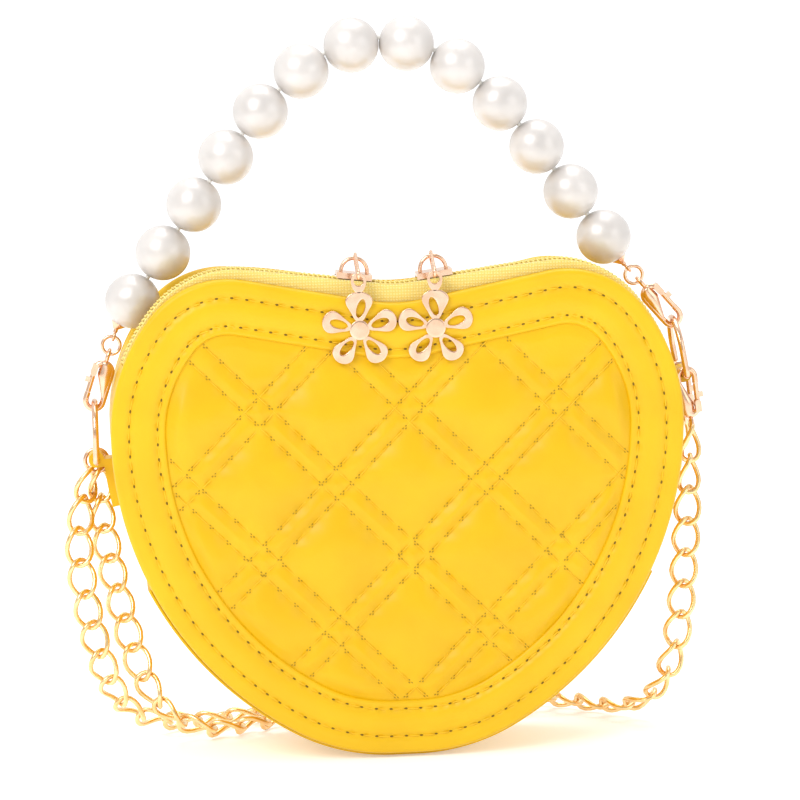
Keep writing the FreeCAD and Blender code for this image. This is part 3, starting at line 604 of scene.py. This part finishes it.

# %% quilting stitches
# The dots at each quilting stitch are dark marks whose colour is painted shade, the shade inside the needle
# hole.
QUILT_HOLE_SHADE = plain("quilt_hole_shade", "A8860C", Roughness=0.8)[0]
QUILT_BAR, QUILT_DOT, QUILT_LIFT = (5.0, 0.2), (0.62, 0.21), 0.12
HOLE_SPREAD = ((-0.6, 0.3), (0.0, -0.35), (0.65, 0.25))
ROW_RUN, ROW_FINE, ROW_END, LEAST_POINTS = 130, 0.5, 2.2, 40


def quilt_rows():
    """Straight rows along both diagonals, cut off where the pad meets the border."""
    rows = []
    run = np.arange(-ROW_RUN, ROW_RUN, ROW_FINE)
    for turn in (1, -1):
        for step in range(-4, 5):
            for side in (-ROW_GAP, ROW_GAP):
                across = step * QUILT_STEP + side
                x = QUILT_CROSS[0] + (across + run) / np.sqrt(2)
                z = QUILT_CROSS[1] + turn * (across - run) / np.sqrt(2)
                inside = np.flatnonzero(rim_distance(x, z) > ROW_END)
                if len(inside) > LEAST_POINTS:
                    x, z = (values[inside[0]:inside[-1] + 1] for values in (x, z))
                    rows.append(np.stack((x, quilt_depth(x, z) - QUILT_LIFT, z), 1))
    return rows


quilt_lines = quilt_rows()
sew("quilt_stitch", quilt_lines, QUILT_PITCH, QUILT_BAR, QUILT_DOT, False,
    spread=HOLE_SPREAD, dark=QUILT_HOLE_SHADE)
print("quilt rows", len(quilt_lines))

# %% [markdown]
# The gussets, the zip tapes and the strip behind the zip are long bands. A solidified sheet could make them,
# but they have to meet the panels' edges all round, so each is a closed cross section carried along the
# heart line. Where a band climbs from the panel's edge to the zip's ridge, its points go from one line to the
# other. Slow waves in the leather keep the bands from looking pressed.

# %% band helpers
ZIP_END_TURN = np.radians(112.0)
SETTLE, SETTLE_FROM, SETTLE_OVER = 0.55, 42, 30


def length_at_height(line, height):
    """Length along the right half where the line first reaches a height."""
    lengths = np.linspace(0, line.marks[3], 2000)
    return np.interp(height, line.right(lengths)[0][:, 1], lengths)


def length_at_turn(line, turn):
    """Length along the right half where the shoulder arc has turned this far."""
    _, radius, first, _ = line.arcs[2]
    return line.marks[3] + radius * (turn - first)


def over_the_top(steps):
    """Matching lengths on the panel line and the ridge line, from the right end of the zip to the left."""
    ends = [length_at_turn(line, ZIP_END_TURN) for line in (PANEL, RIDGE)]
    return [np.linspace(end, 2 * line.half - end, steps) for end, line in zip(ends, (PANEL, RIDGE))]


def ridge_line(near_lengths, far_lengths):
    """Points and outward directions of the zip's ridge, which settles towards the panel at the shoulders."""
    (near, _), (far, out) = PANEL.walk(near_lengths), RIDGE.walk(far_lengths)
    settle = SETTLE * smooth_step((np.abs(far[:, :1]) - SETTLE_FROM) / SETTLE_OVER)
    return far + settle * (near - far), out


def closed_section(depth, inset, share, thickness):
    """Outer face, then the inner face back again, of a sheet: depth, inset and share of the ridge line."""
    depth, inset, share = (np.broadcast_to(v, np.shape(depth)) for v in (depth, inset, share))
    return np.stack((np.r_[depth, depth[::-1]],
                     np.r_[inset, inset[::-1] + thickness],
                     np.r_[share, share[::-1]]), 1)


def band(node, spans, section, material, slot, waves=0.0, seed=1, lift=0.0):
    """Closed section carried along both lines, with slow waves and a lift in its inset, its ends closed."""
    depth, inset, share = section.T
    inset = inset[None] + waves * ripple(spans[0][:, None] / 7, depth[None] / 5, seed) - lift
    (near, near_out), (far, far_out) = PANEL.walk(spans[0]), ridge_line(*spans)
    flat = ((1 - share)[None, :, None] * (near[:, None] - inset[..., None] * near_out[:, None])
            + share[None, :, None] * (far[:, None] - inset[..., None] * far_out[:, None]))
    points = np.stack((flat[..., 0], np.broadcast_to(depth, flat.shape[:2]), flat[..., 1]), -1)
    rows, columns = points.shape[:2]
    ends = np.stack((np.arange(columns)[::-1], (rows - 1) * columns + np.arange(columns)))
    faces = face_list(grid_faces(rows, columns, close_columns=True), ends)
    made = make_object(node + "_sheet", points.reshape(-1, 3), faces, material)
    smooth = np.ones(len(faces), bool)
    smooth[-2:] = False
    made.data.polygons.foreach_set("use_smooth", smooth)
    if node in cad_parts:
        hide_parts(node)
    return made


def rounded_face(first, last, count):
    """Depths from first to last that crowd towards both edges."""
    return first + (last - first) * (0.5 - 0.5 * np.cos(np.linspace(0, np.pi, count)))


print("zip", round(float(np.ptp(over_the_top(2)[1])), 1), "mm along its ridge")

# %% gussets and the strip behind the zip
GUSSET_TOP, GUSSET_OVERLAP = 56.0, 10.0
INSIDE_FRONT, INSIDE_BACK, LEATHER_THICK, SOFT_EDGE = -17.9, 19.1, 1.4, 0.35
STRIP_FRONT, STRIP_SINK, STRIP_LEATHER = -7.7, 7.5, 1.2
HIDE = (BORDER_LEATHER, "yellow_leather")
wall_depth = rounded_face(INSIDE_FRONT, INSIDE_BACK, 26)
soft_edge = SOFT_EDGE * (1 - np.sin(np.linspace(0, np.pi, 26)) ** 0.3)
side_wall, base_wall = (closed_section(wall_depth, soft_edge - over, 0.0, LEATHER_THICK - SOFT_EDGE)
                        for over in (0, LEATHER_THICK))
zip_end = length_at_turn(PANEL, ZIP_END_TURN)
base_end = length_at_height(PANEL, GUSSET_TOP)
side_span = np.linspace(length_at_height(PANEL, GUSSET_TOP - GUSSET_OVERLAP), zip_end, 90)
base_span = np.linspace(-base_end, base_end, 260)
band("side_gusset_right", (side_span,) * 2, side_wall, *HIDE, 0.12, 21)
band("side_gusset_left", (2 * PANEL.half - side_span,) * 2, side_wall[::-1], *HIDE, 0.12, 22)
band("base_gusset", (base_span,) * 2, base_wall, *HIDE, 0.03, 23)
strip_depth = rounded_face(STRIP_FRONT, INSIDE_BACK, 36)
from_front, from_back = strip_depth - STRIP_FRONT, INSIDE_BACK - strip_depth
sink = STRIP_SINK * smooth_step(from_front / 8.4) * smooth_step(from_back / 8.2)
climb = 1 - smooth_step(from_front / 8.2)
strip_span = over_the_top(260)
from_end = np.minimum(strip_span[0] - strip_span[0][0], strip_span[0][-1] - strip_span[0])
rise_to_end = np.outer(1 - smooth_step(from_end / 11), np.r_[sink, sink[::-1]])
strip = closed_section(strip_depth, sink, climb, STRIP_LEATHER)
band("top_gusset", strip_span, strip, *HIDE, 0.30, 24, rise_to_end)
facing_span = np.linspace(zip_end - 3, zip_end + 6, 14)
facing = closed_section(rounded_face(INSIDE_FRONT + 0.4, INSIDE_BACK - 0.4, 20), 1.5, 0.0, 0.6)
band("zip_end_facing_right", (facing_span,) * 2, facing, *HIDE)
band("zip_end_facing_left", (2 * PANEL.half - facing_span,) * 2, facing[::-1], *HIDE)
print("gussets and a strip", STRIP_SINK, "mm deep made")

# %% [markdown]
# The zip: a woven tape stands up behind the border and turns in to the coil, a second strip of tape lies
# behind it, and each half of the coil is one wire wound in a spiral along the ridge. Teeth could be copied
# along the line one by one, but the real coil is a single wire, and a spiral is one formula.

# %% zip tapes and coil
ZIP_DEPTH, COIL_RADIUS, COIL_WIRE, COIL_PITCH, COIL_SINK = -12.4, 1.0, 0.36, 1.5, 0.4
COIL_SPREAD, COIL_OVERLAP, TURN_STEPS = 1.1, 0.25, 9
TAPE_STEPS, RISE_STEPS = 240, 7
TAPE_TURN = ((-17.3, -0.05, 1), (-16.2, 0, 1), (-14.95, 0.1, 1),
             (-14.95, 0.7, 1), (-16.2, 0.8, 1), (-17.05, 0.9, 1))


def woven(name, low, high, scale):
    """Cloth with fine ribs that cross: the product of two wave textures as the weave's height and tone."""
    made, tree, shader = plain(name, high, Roughness=0.85, Sheen_Weight=0.3)
    place = tree.nodes.new("ShaderNodeTexCoord")
    cross = tree.nodes.new("ShaderNodeMath")
    cross.operation = "MULTIPLY"
    for index, axis in enumerate(("X", "Z")):
        wave = add(tree, "ShaderNodeTexWave", Scale=scale, Distortion=0.6)
        wave.bands_direction = axis
        tree.links.new(place.outputs["Object"], wave.inputs["Vector"])
        tree.links.new(wave.outputs["Fac"], cross.inputs[index])
    two_tones(tree, shader, cross.outputs[0], low, high, 0.0, 0.8)
    bump(tree, shader, cross.outputs[0], 0.5, 0.0003)
    return made


def tape_wall():
    """Section of the front tape: up its outside from panel to ridge, over the turn, and down its inside."""
    rise = np.linspace(0, 1, RISE_STEPS)
    outside = np.stack((np.full(RISE_STEPS, INSIDE_FRONT), 1.2 * (1 - rise), rise), 1)
    inside = np.stack((np.full(RISE_STEPS, -17.1), 0.9 + 0.3 * (1 - rise), rise), 1)
    return np.vstack((outside, TAPE_TURN, inside[::-1]))


def coil_half(side):
    """Flat spiral along the ridge line; the far half is half a turn ahead, so that the two mesh."""
    start, end = over_the_top(2)[1]
    turns = int((end - start) / COIL_PITCH)
    phase = np.linspace(0, 2 * np.pi * turns, turns * TURN_STEPS + 1)
    point, out = ridge_line(*over_the_top(len(phase)))
    phase = phase + np.pi * (side > 0)
    flat = point - (COIL_SINK - (COIL_RADIUS - COIL_WIRE) * np.cos(phase))[:, None] * out
    depth = ZIP_DEPTH + side * COIL_SPREAD + (COIL_SPREAD + COIL_OVERLAP) * np.sin(phase)
    return np.stack((flat[:, 0], depth, flat[:, 1]), 1)


def wire_along(centre, radius, sides, closed=False, guide=None):
    """Tube round a line of points: rings square to it, kept from twisting by side directions."""
    ahead = unit(np.roll(centre, -1, 0) - np.roll(centre, 1, 0) if closed else np.gradient(centre, axis=0))
    if guide is None:
        guide = np.where(np.abs(ahead[:, 1:2]) > 0.9, (1.0, 0.0, 0.0), (0.0, 1.0, 0.0))
    one = unit(np.cross(ahead, guide))
    two = np.cross(ahead, one)
    turn = circle(sides)
    ring = np.cos(turn)[None, :, None] * one[:, None] + np.sin(turn)[None, :, None] * two[:, None]
    points = centre[:, None] + radius * ring
    return points.reshape(-1, 3), grid_faces(len(centre), sides, closed, True)


CLOTH = (woven("zip_cloth", "E8CE6C", "F6E596", 340.0), "zip_tape")
COIL_NYLON = plain("coil_nylon", "EED674", Roughness=0.35)[0]
tape_span = over_the_top(TAPE_STEPS)
band("zip_tape_front", tape_span, tape_wall(), *CLOTH, 0.10, 31)
back_tape = closed_section(rounded_face(-9.85, -7.75, 6), 0.05, 1.0, 0.7)
band("zip_tape_back", tape_span, back_tape, *CLOTH, 0.05, 32)
under_coil = closed_section(rounded_face(-15.2, -9.6, 6), 1.0, 1.0, 0.5)
band("zip_core", tape_span, under_coil, *CLOTH)
for side, node in ((-1, "zip_coil_front"), (1, "zip_coil_back")):
    coil = make_object(node + "_winding", *wire_along(coil_half(side), COIL_WIRE, 5), COIL_NYLON)
    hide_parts(node)
print("zip tapes and two coils of", len(coil.data.polygons), "faces made")

# %% [markdown]
# The back is one smooth panel: the same heart with its edge rolled over the gusset, one row of stitches near
# the edge, and a face that is only slightly uneven. A filled outline would be flat, so the edge is stepped in
# row by row and spokes carry the face to its middle, where the waves can be added.

# %% back panel
BACK, BACK_ROLL, BACK_ROW, BACK_FURROW = 22.0, 1.4, 5.6, 0.45
BACK_LIP = ((1.15, 19.2), (0.0, 19.15))
BACK_FACE, BACK_SPOKE, BACK_HUB = 26, 59, 0.02
BACK_CROWN, PAST_ROWS = 0.3, 30.0


def back_rows():
    """Insets and depths from the turned lip, round the rolled edge, to past the stitch row."""
    roll = np.linspace(0, np.pi / 2, ROLL_STEPS)
    edge = np.stack((BACK_ROLL - BACK_ROLL * np.cos(roll), BACK - BACK_ROLL + BACK_ROLL * np.sin(roll)), 1)
    face = np.stack((np.linspace(2.0, 12.0, BACK_FACE), np.full(BACK_FACE, BACK)), 1)
    return np.concatenate((BACK_LIP, edge, face))


def back_grid():
    """Edge rows stepped in from the heart line, then spokes to the middle.

    The face's depth is a slight crown and two ripples, less a bell curve along the stitch row."""
    point, out = PANEL.walk(round_panel(PAD_ROUND))
    rows = back_rows()
    edge = point[None] - rows[:, 0, None, None] * out[None]
    share = np.linspace(1, BACK_HUB, BACK_SPOKE + 1)[1:, None, None]
    flat = np.concatenate((edge, PAD_MIDDLE + share * (edge[-1] - PAD_MIDDLE)))
    inset = np.concatenate((rows[:, 0], np.full(BACK_SPOKE, PAST_ROWS)))[:, None]
    depth = np.concatenate((rows[:, 1], np.full(BACK_SPOKE, BACK)))[:, None]
    face = smooth_step((inset - 1) / 2) * (depth > BACK - 0.1)
    x, z = flat[..., 0], flat[..., 1]
    wave = 0.20 * ripple(x / 16, z / 16, 51) + 0.06 * ripple(x / 5, z / 5, 52)
    furrow = BACK_FURROW * np.exp(-((inset - BACK_ROW) / 0.9) ** 2)
    return np.stack((x, depth + face * (BACK_CROWN + wave - furrow), z), -1)


back_points = back_grid()
back_middle = (PAD_MIDDLE[0], back_points[-1, :, 1].mean(), PAD_MIDDLE[1])
back_tip = back_points.size // 3
back_faces = face_list(grid_faces(len(back_points), PAD_ROUND, close_columns=True)[:, ::-1],
                       fan(back_tip - PAD_ROUND, PAD_ROUND, back_tip)[:, ::-1])
back_mesh = np.vstack((back_points.reshape(-1, 3), back_middle))
back = make_object("back_sheet", back_mesh, back_faces, BORDER_LEATHER)
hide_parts("back_panel")
face_start = len(BACK_LIP) + ROLL_STEPS
row = face_start + int(np.argmin(np.abs(back_rows()[face_start:, 0] - BACK_ROW)))
back_row = back_points[row] + (0, THREAD_LIFT, 0)
sew("back_stitch", [back_row], STITCH_PITCH, BORDER_BAR, BORDER_HOLE, True, out=(0, 1, 0))
print("back panel", len(back.data.polygons), "faces")

# %% [markdown]
# The strap is a curb chain in two strands. Each strand follows a smooth curve steered by listed points, near
# those of the solid model. An array bent along a curve would bend its links too, so numpy sets copies of one
# rigid link at even steps. The link is an oval wire with each end twisted an eighth of a turn, the two in
# opposite senses, so that neighbours cross at right angles. Links roll from hanging flat to leaning on the
# table.

# %% chain routes
TURN_HANG = ((-94.73, 12.5, 90.93), (-92.40, 12.5, 90.93))
CLASP_EYE = ((94.66, -1.5, 99.60), (94.66, 12.5, 99.60))
FLOOR = 3.8
OUTER_ROUTE = (
    (-99.6, 8.4, 77), (-100.4, 4.8, 64), (-98.8, 3.6, 50), (-96.2, 5, 36), (-92.8, 9, 22), (-87, 16.5, 9.5),
    (-76, 23.5, 4.2), (-60, 27, FLOOR), (-45, 32, FLOOR), (-30, 39, FLOOR), (-12, 45, FLOOR), (8, 47, FLOOR),
    (26, 46.4, FLOOR), (41, 43.4, FLOOR), (53.5, 37.4, FLOOR), (63.5, 28.4, FLOOR), (72, 20, FLOOR),
    (80, 12.4, 6.2), (86, 6.6, 13.5), (89.4, 2.8, 26), (91.2, 0.8, 41), (92.2, 0, 56), (93.4, -0.8, 74),
)
INNER_ROUTE = (
    (-93, 14.4, 77), (-91.4, 15.2, 64), (-88.6, 15.6, 50), (-85.6, 15.6, 36), (-82, 14.6, 22.5),
    (-76, 12.6, 10.5), (-66, 10.4, 4.2), (-54, 12.2, FLOOR), (-43, 20.5, FLOOR), (-30, 28, FLOOR),
    (-14, 31, FLOOR), (4, 30, FLOOR), (22, 30.4, FLOOR), (39, 31.4, 4), (51, 31, 9), (61, 30, 18),
    (70, 29.2, 31), (77.6, 28.4, 45), (83.6, 27, 59), (90, 22, 76),
)


def route_line(points):
    """Points along the smooth curve that a route's points steer, read back from a curve without a bevel."""
    data = bpy.data.curves.new("route", "CURVE")
    data.dimensions, data.resolution_u = "3D", 16
    spline = data.splines.new("NURBS")
    spline.points.add(len(points) - 1)
    spline.points.foreach_set("co", np.hstack((np.array(points, float), np.ones((len(points), 1)))).ravel())
    spline.order_u, spline.use_endpoint_u = 3, True
    guide = bpy.data.objects.new("route", data)
    line = bpy.data.meshes.new_from_object(guide)
    places = np.empty(3 * len(line.vertices))
    line.vertices.foreach_get("co", places)
    bpy.data.objects.remove(guide)
    bpy.data.meshes.remove(line)
    return places.reshape(-1, 3)


print("routes steered by", len(OUTER_ROUTE), "and", len(INNER_ROUTE), "points")

# %% chain links
LINK_LENGTH, LINK_WIDTH, LINK_WIRE, LINK_PITCH = 13.8, 9.6, 1.65, 10.4
LINK_STEPS, LINK_SIDES = 22, 8
LINK_TWIST, FLOOR_LEAN = np.radians((45.0, 60.0))
LINK_REACH = 0.5 * (LINK_LENGTH - LINK_WIRE)
END_EASE, LEAN_BELOW, LEAN_OVER, ROLL_CHANCE = 45, 30, 22, 0.10


def curb_link():
    """Closed oval wire: width goes as sine, length as cosine, and the plane turns from end to end."""
    t = circle(LINK_STEPS)
    swing = LINK_TWIST * np.cos(t)
    width = 0.5 * (LINK_WIDTH - LINK_WIRE) * np.sign(np.sin(t)) * np.abs(np.sin(t)) ** 0.85
    centre = np.stack((LINK_REACH * np.cos(t), width * np.cos(swing), width * np.sin(swing)), 1)
    guide = np.stack((np.zeros(LINK_STEPS), -np.sin(swing), np.cos(swing)), 1)
    return wire_along(centre, 0.5 * LINK_WIRE, LINK_SIDES, True, guide)


def chain(name, node, start, route, end, seed):
    """Links at even steps along the route's curve, each turned with it and rolled a little by chance."""
    line = route_line([start, *route, end])
    walked, at = measured(line)
    count = 2 * int(round((walked[-1] - 2 * LINK_REACH) / LINK_PITCH / 2)) + 2
    marks = np.linspace(LINK_REACH, walked[-1] - LINK_REACH, count)
    before, after = at(marks - LINK_REACH), at(marks + LINK_REACH)
    ahead, middle = unit(after - before), 0.5 * (before + after)
    flat = unit(np.cross((0.0, 1.0, 0.0), ahead))
    face = np.cross(ahead, flat)
    from_end = np.minimum(marks, walked[-1] - marks)
    side = np.where(marks < walked[-1] / 2, -1.0, 1.0)
    lean = FLOOR_LEAN * smooth_step((LEAN_BELOW - middle[:, 2]) / LEAN_OVER)
    roll = side * LINK_TWIST * (1 - smooth_step(from_end / END_EASE)) + lean
    roll = (roll + np.random.default_rng(seed).normal(0, ROLL_CHANCE, count))[:, None]
    across, out = np.cos(roll) * flat + np.sin(roll) * face, np.cos(roll) * face - np.sin(roll) * flat
    shape, faces = curb_link()
    made = make_object(name, *scatter(shape, faces, middle, ahead, across, out), CHAIN_GOLD)
    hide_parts(node)
    print(name, count, "links,", round(walked[-1], 1), "mm")
    return made


chain("strap_outer", "chain_strand_outer", TURN_HANG[0], OUTER_ROUTE, CLASP_EYE[0], 41)
chain("strap_inner", "chain_strand_inner", TURN_HANG[1], INNER_ROUTE, CLASP_EYE[1], 42)

# %% [markdown]
# A cast lobster clasp is broad at its eye and thins out along its spine to the hook. The solid model has the
# wire form that works. The heel that fills it could be sculpted. A row of ellipses from the eye to the hook
# is enough, kept under the line that the lever takes when it opens. Its place is read from the solid: the eye
# is its widest part, the hook the point furthest from the eye, and the lever tells which side is open.

# %% clasp heels
EYE_TO_HOOK, EYE_SIDE, PIVOT, LEVER_SLOPE = 14.75, 2.3, -8.3, np.tan(np.radians(26))
HEEL_TURN, HEEL_ROUND, HEEL_END, HEEL_CAP = -9.5, 3.35, -1.4, 0.15
SPINE, SPINE_LEAST, HEEL_TOP, HEEL_THICK, HEEL_THINNING = -3.35, 1.1, 1.35, 1.5, 0.55
HEEL_RINGS, HEEL_SIDES = 22, 18
SIDEWAYS = np.array((0, 1, 0))


def solid_points(node):
    """Corner points of a solid's mesh, in millimetres."""
    mesh = bpy.data.objects[node].data
    flat = np.empty(3 * len(mesh.vertices))
    mesh.vertices.foreach_get("co", flat)
    return flat.reshape(-1, 3) / MM


def closed_rings(rings, first, last, start=0):
    """Points and faces of a row of rings, numbered on from start, with a fan of triangles at both ends."""
    rows, columns = rings.shape[:2]
    end = rows * columns
    faces = (grid_faces(rows, columns, close_columns=True), fan(0, columns, end)[:, ::-1],
             fan(end - columns, columns, end + 1))
    return np.vstack((rings.reshape(-1, 3), first, last)), face_list(*(part + start for part in faces))


def clasp_axes(clasp, lever):
    """Middle of the eye, direction to the hook, and direction to the lever's side, read from the solids."""
    points = solid_points(clasp)
    middle = (points[:, 1].min() + points[:, 1].max()) / 2
    eye = points[np.abs(points[:, 1] - middle) > EYE_SIDE].mean(0)
    eye[1] = middle
    reach = (points - eye) * (1, 0, 1)
    along = unit(reach[np.argmax((reach ** 2).sum(1))])
    across = np.array((-along[2], 0, along[0]))
    return eye, along, across * np.sign((solid_points(lever).mean(0) - eye) @ across)


def clasp_heel(clasp, lever, body):
    """Ellipses along the clasp: round at the eye, under the open lever's line, thinner to the hook."""
    eye, along, across = clasp_axes(clasp, lever)
    share = 0.5 - 0.5 * np.cos(np.linspace(END_ANGLE, np.pi - END_ANGLE, HEEL_RINGS))
    x = HEEL_TURN - HEEL_ROUND + (HEEL_END - HEEL_TURN + HEEL_ROUND) * share
    bow = np.sqrt(np.maximum(HEEL_ROUND ** 2 - np.minimum(x - HEEL_TURN, 0) ** 2, 0.04))
    top = np.maximum(np.minimum(HEEL_TOP, HEEL_TOP - (x - PIVOT) * LEVER_SLOPE), SPINE + SPINE_LEAST)
    top, low = np.minimum(top, bow), np.maximum(SPINE, -bow)
    thick = (HEEL_THICK - HEEL_THINNING * smooth_step((x + 8) / 6)) * np.minimum(1, 0.4 + bow / HEEL_ROUND)
    turn = circle(HEEL_SIDES)
    y = (top + low)[:, None] / 2 + (top - low)[:, None] / 2 * np.cos(turn)
    z = thick[:, None] * np.sin(turn)
    rings = eye + (EYE_TO_HOOK + x)[:, None, None] * along + y[..., None] * across + z[..., None] * SIDEWAYS
    if np.cross(across, SIDEWAYS) @ along < 0:
        rings = rings[:, ::-1]
    cap = HEEL_CAP * along
    shape = closed_rings(rings, rings[0].mean(0) - cap, rings[-1].mean(0) + cap)
    made = make_object(clasp + "_heel", *shape, ROSE_GOLD, body)
    return made


for end in ("left", "right"):
    clasp_heel("handle_clasp_" + end, "handle_lever_" + end, "pearl_handle")
for end in ("front", "back"):
    clasp_heel("chain_clasp_" + end, "chain_lever_" + end, "purse")
print("four clasp heels of", HEEL_RINGS, "rings each")

# %% [markdown]
# Each zip pull carries a cast flower: five fan shaped petals with a slim hole, a plain heart, and an eye for
# the wire link. Holes could be cut from a plate, but a cut leaves sharp rims. A petal is a flat ring between
# two outlines instead, an ellipse for the hole and a fan for the edge, with a rounded section. The eye is
# such a ring too, drawn out to meet the top petal, and the heart is a low dome. Three of the holes lean or
# bend a little, mirrored on the two flowers.

# %% flower pulls
HALF_SECTION = np.array(((0, 0.2), (0, 0.38), (0.06, 0.5), (0.14, 0.5), (0.5, 0.5),
                         (0.86, 0.5), (0.94, 0.5), (1, 0.38), (1, 0.2)))
PLATE_SECTION = np.vstack((HALF_SECTION, HALF_SECTION[::-1] * (1, -1)))
FLOWER_TOP, EYE_PLACE, EYE_HOLE, EYE_EDGE, EYE_STEM = 17.6, 15.2, 1.5, 2.4, 0.75
FAN_MIDDLE, FAN_REACH, FAN_HALF, FAN_SPREAD = 7.2, 4.7, 2.1, 2.1
HOLE_MIDDLE, HOLE_REACH, HOLE_HALF = 6.7, 2.8, 1.3
PETAL_LEAN = (1.2, 0.0, -0.5, 0.5, 0.0)
PETAL_WIDTH = (1.2, 1.0, 1.0, 1.0, 1.0)
PETAL_STEPS, HEART_STEPS = 40, 28
HEART_PROFILE = np.array(((1.2, 0.53), (2.4, 0.52), (2.95, 0.51), (3.1, 0.4),
                          (3.1, -0.4), (2.9, -0.48), (1.2, -0.49)))
UP = 90


def plate_ring(hole, edge, degrees):
    """Flat ring 1 mm thick between two outlines, its edges rounded, turned about the flower's middle."""
    flat = hole[:, None] + (edge - hole)[:, None] * PLATE_SECTION[:, 0, None]
    c, s = np.cos(np.radians(degrees)), np.sin(np.radians(degrees))
    depth = np.broadcast_to(PLATE_SECTION[:, 1, None], flat.shape[:2] + (1,))
    return np.concatenate((flat @ np.array(((c, s), (-s, c))), depth), -1)


def flower_rings():
    """Five petals and the eye, the way round given by an angle.

    Holes are ellipses, and the edge of a petal is an ellipse whose half width grows outwards like a fan."""
    turn = circle(PETAL_STEPS)
    c, s = np.cos(turn), np.sin(turn)
    reach = FAN_MIDDLE + FAN_REACH * c
    edge = np.stack((reach, (FAN_HALF + FAN_SPREAD * smooth_step((reach - 4) / 7)) * s), 1)
    rings = []
    for index, (lean, width) in enumerate(zip(PETAL_LEAN, PETAL_WIDTH)):
        hole = np.stack((HOLE_MIDDLE + HOLE_REACH * c, HOLE_HALF * s + lean * (0.4 + 0.6 * c)), 1)
        rings.append(plate_ring(hole, edge * (1, width), UP + 360 / len(PETAL_LEAN) * index))
    eye_hole = np.stack((EYE_PLACE + EYE_HOLE * c, EYE_HOLE * s), 1)
    eye_edge = np.stack((EYE_PLACE + c * (EYE_EDGE + EYE_STEM * (1 - c)), EYE_EDGE * s), 1)
    return np.array(rings + [plate_ring(eye_hole, eye_edge, UP)])


def flower(node, side, body):
    """Rings and heart set at the solid flower's place, mirrored for the left one."""
    solid = solid_points(node)
    middle = (solid.min(0) + solid.max(0)) / 2
    place = np.array((middle[0], middle[1], solid[:, 2].max() - FLOWER_TOP))
    rings = flower_rings()
    count, rows, columns = rings.shape[:3]
    faces = grid_faces(rows, columns, True, True)[None] + rows * columns * np.arange(count)[:, None, None]
    turn, (wide, high) = circle(HEART_STEPS), HEART_PROFILE.T[..., None]
    disc = np.stack((wide * np.cos(turn), wide * np.sin(turn), np.repeat(high, HEART_STEPS, 1)), -1)
    tips = [(0, 0, high[end, 0]) for end in (0, -1)]
    dome, dome_faces = closed_rings(disc[:, ::-1], *tips, rows * columns * count)
    local = np.vstack((rings.reshape(-1, 3), dome))
    faces = faces.reshape(-1, 4).tolist() + dome_faces
    faces = faces if side > 0 else [face[::-1] for face in faces]
    made = make_object(node + "_cast", place + local[:, [0, 2, 1]] * (side, -1, 1), faces, ROSE_GOLD, body)
    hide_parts(node)
    return made


for end, side in (("left", -1), ("right", 1)):
    flower("pull_flower_" + end, side, "zip_pull_" + end)
print("two flower pulls of", len(PETAL_LEAN), "petals")

# %% [markdown]
# The rigid pieces stay as the solid model made them and only get their finishes: pearls with a soft lustre,
# plated hardware, and the plain inner layers. A pearl's lustre could be a colour that turns with the view.
# A little metal under a thin coat comes near it with plain socket values.

# %% finishes of the solid pieces
def pearl_finish():
    """Off-white nacre: two close tones by slow noise, a little metal, a thin coat and faint dimples."""
    made, tree, shader = plain("pearl_nacre", "D4CFCB", Roughness=0.36, Metallic=0.25,
                               Coat_Weight=0.15, Coat_Roughness=0.22, Subsurface_Weight=0.3,
                               Subsurface_Radius=(1.0, 0.9, 0.8), Subsurface_Scale=0.004)
    cloud = clouds(tree, 90.0)
    two_tones(tree, shader, cloud, "CEC9C5", "DAD5D1", 0.35, 0.65)
    bump(tree, shader, cloud, 0.4, 0.0012)
    return made


FINISH = {
    "pearl": pearl_finish(),
    "board": leather("stiffener_board", "A58C62", "BCA274", 0.9, 500.0, 0.0002),
    "lining": woven("lining_cloth", "D9CDB2", "EFE6D0", 420.0),
    "handle_cord": plain("nylon_cord", "F2F0EA", Roughness=0.5)[0],
    "side_tab": BORDER_LEATHER,
}
METAL_PIECES = ("slider", "pull", "d_ring", "clasp", "lever", "handle_ring", "handle_end", "turn_ring")
FINISH.update(dict.fromkeys(METAL_PIECES, ROSE_GOLD))


def dress(node):
    """Gives a solid's object the finish of the first word in the list that its name holds."""
    piece = bpy.data.objects.get(node)
    finish = next((FINISH[word] for word in FINISH if word in node), None)
    if piece and finish:
        piece.data.materials.clear()
        piece.data.materials.append(finish)
    return bool(piece and finish)


dressed = [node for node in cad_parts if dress(node)]
print(len(dressed), "solids dressed")

# %% finish
bpy.context.view_layer.update()
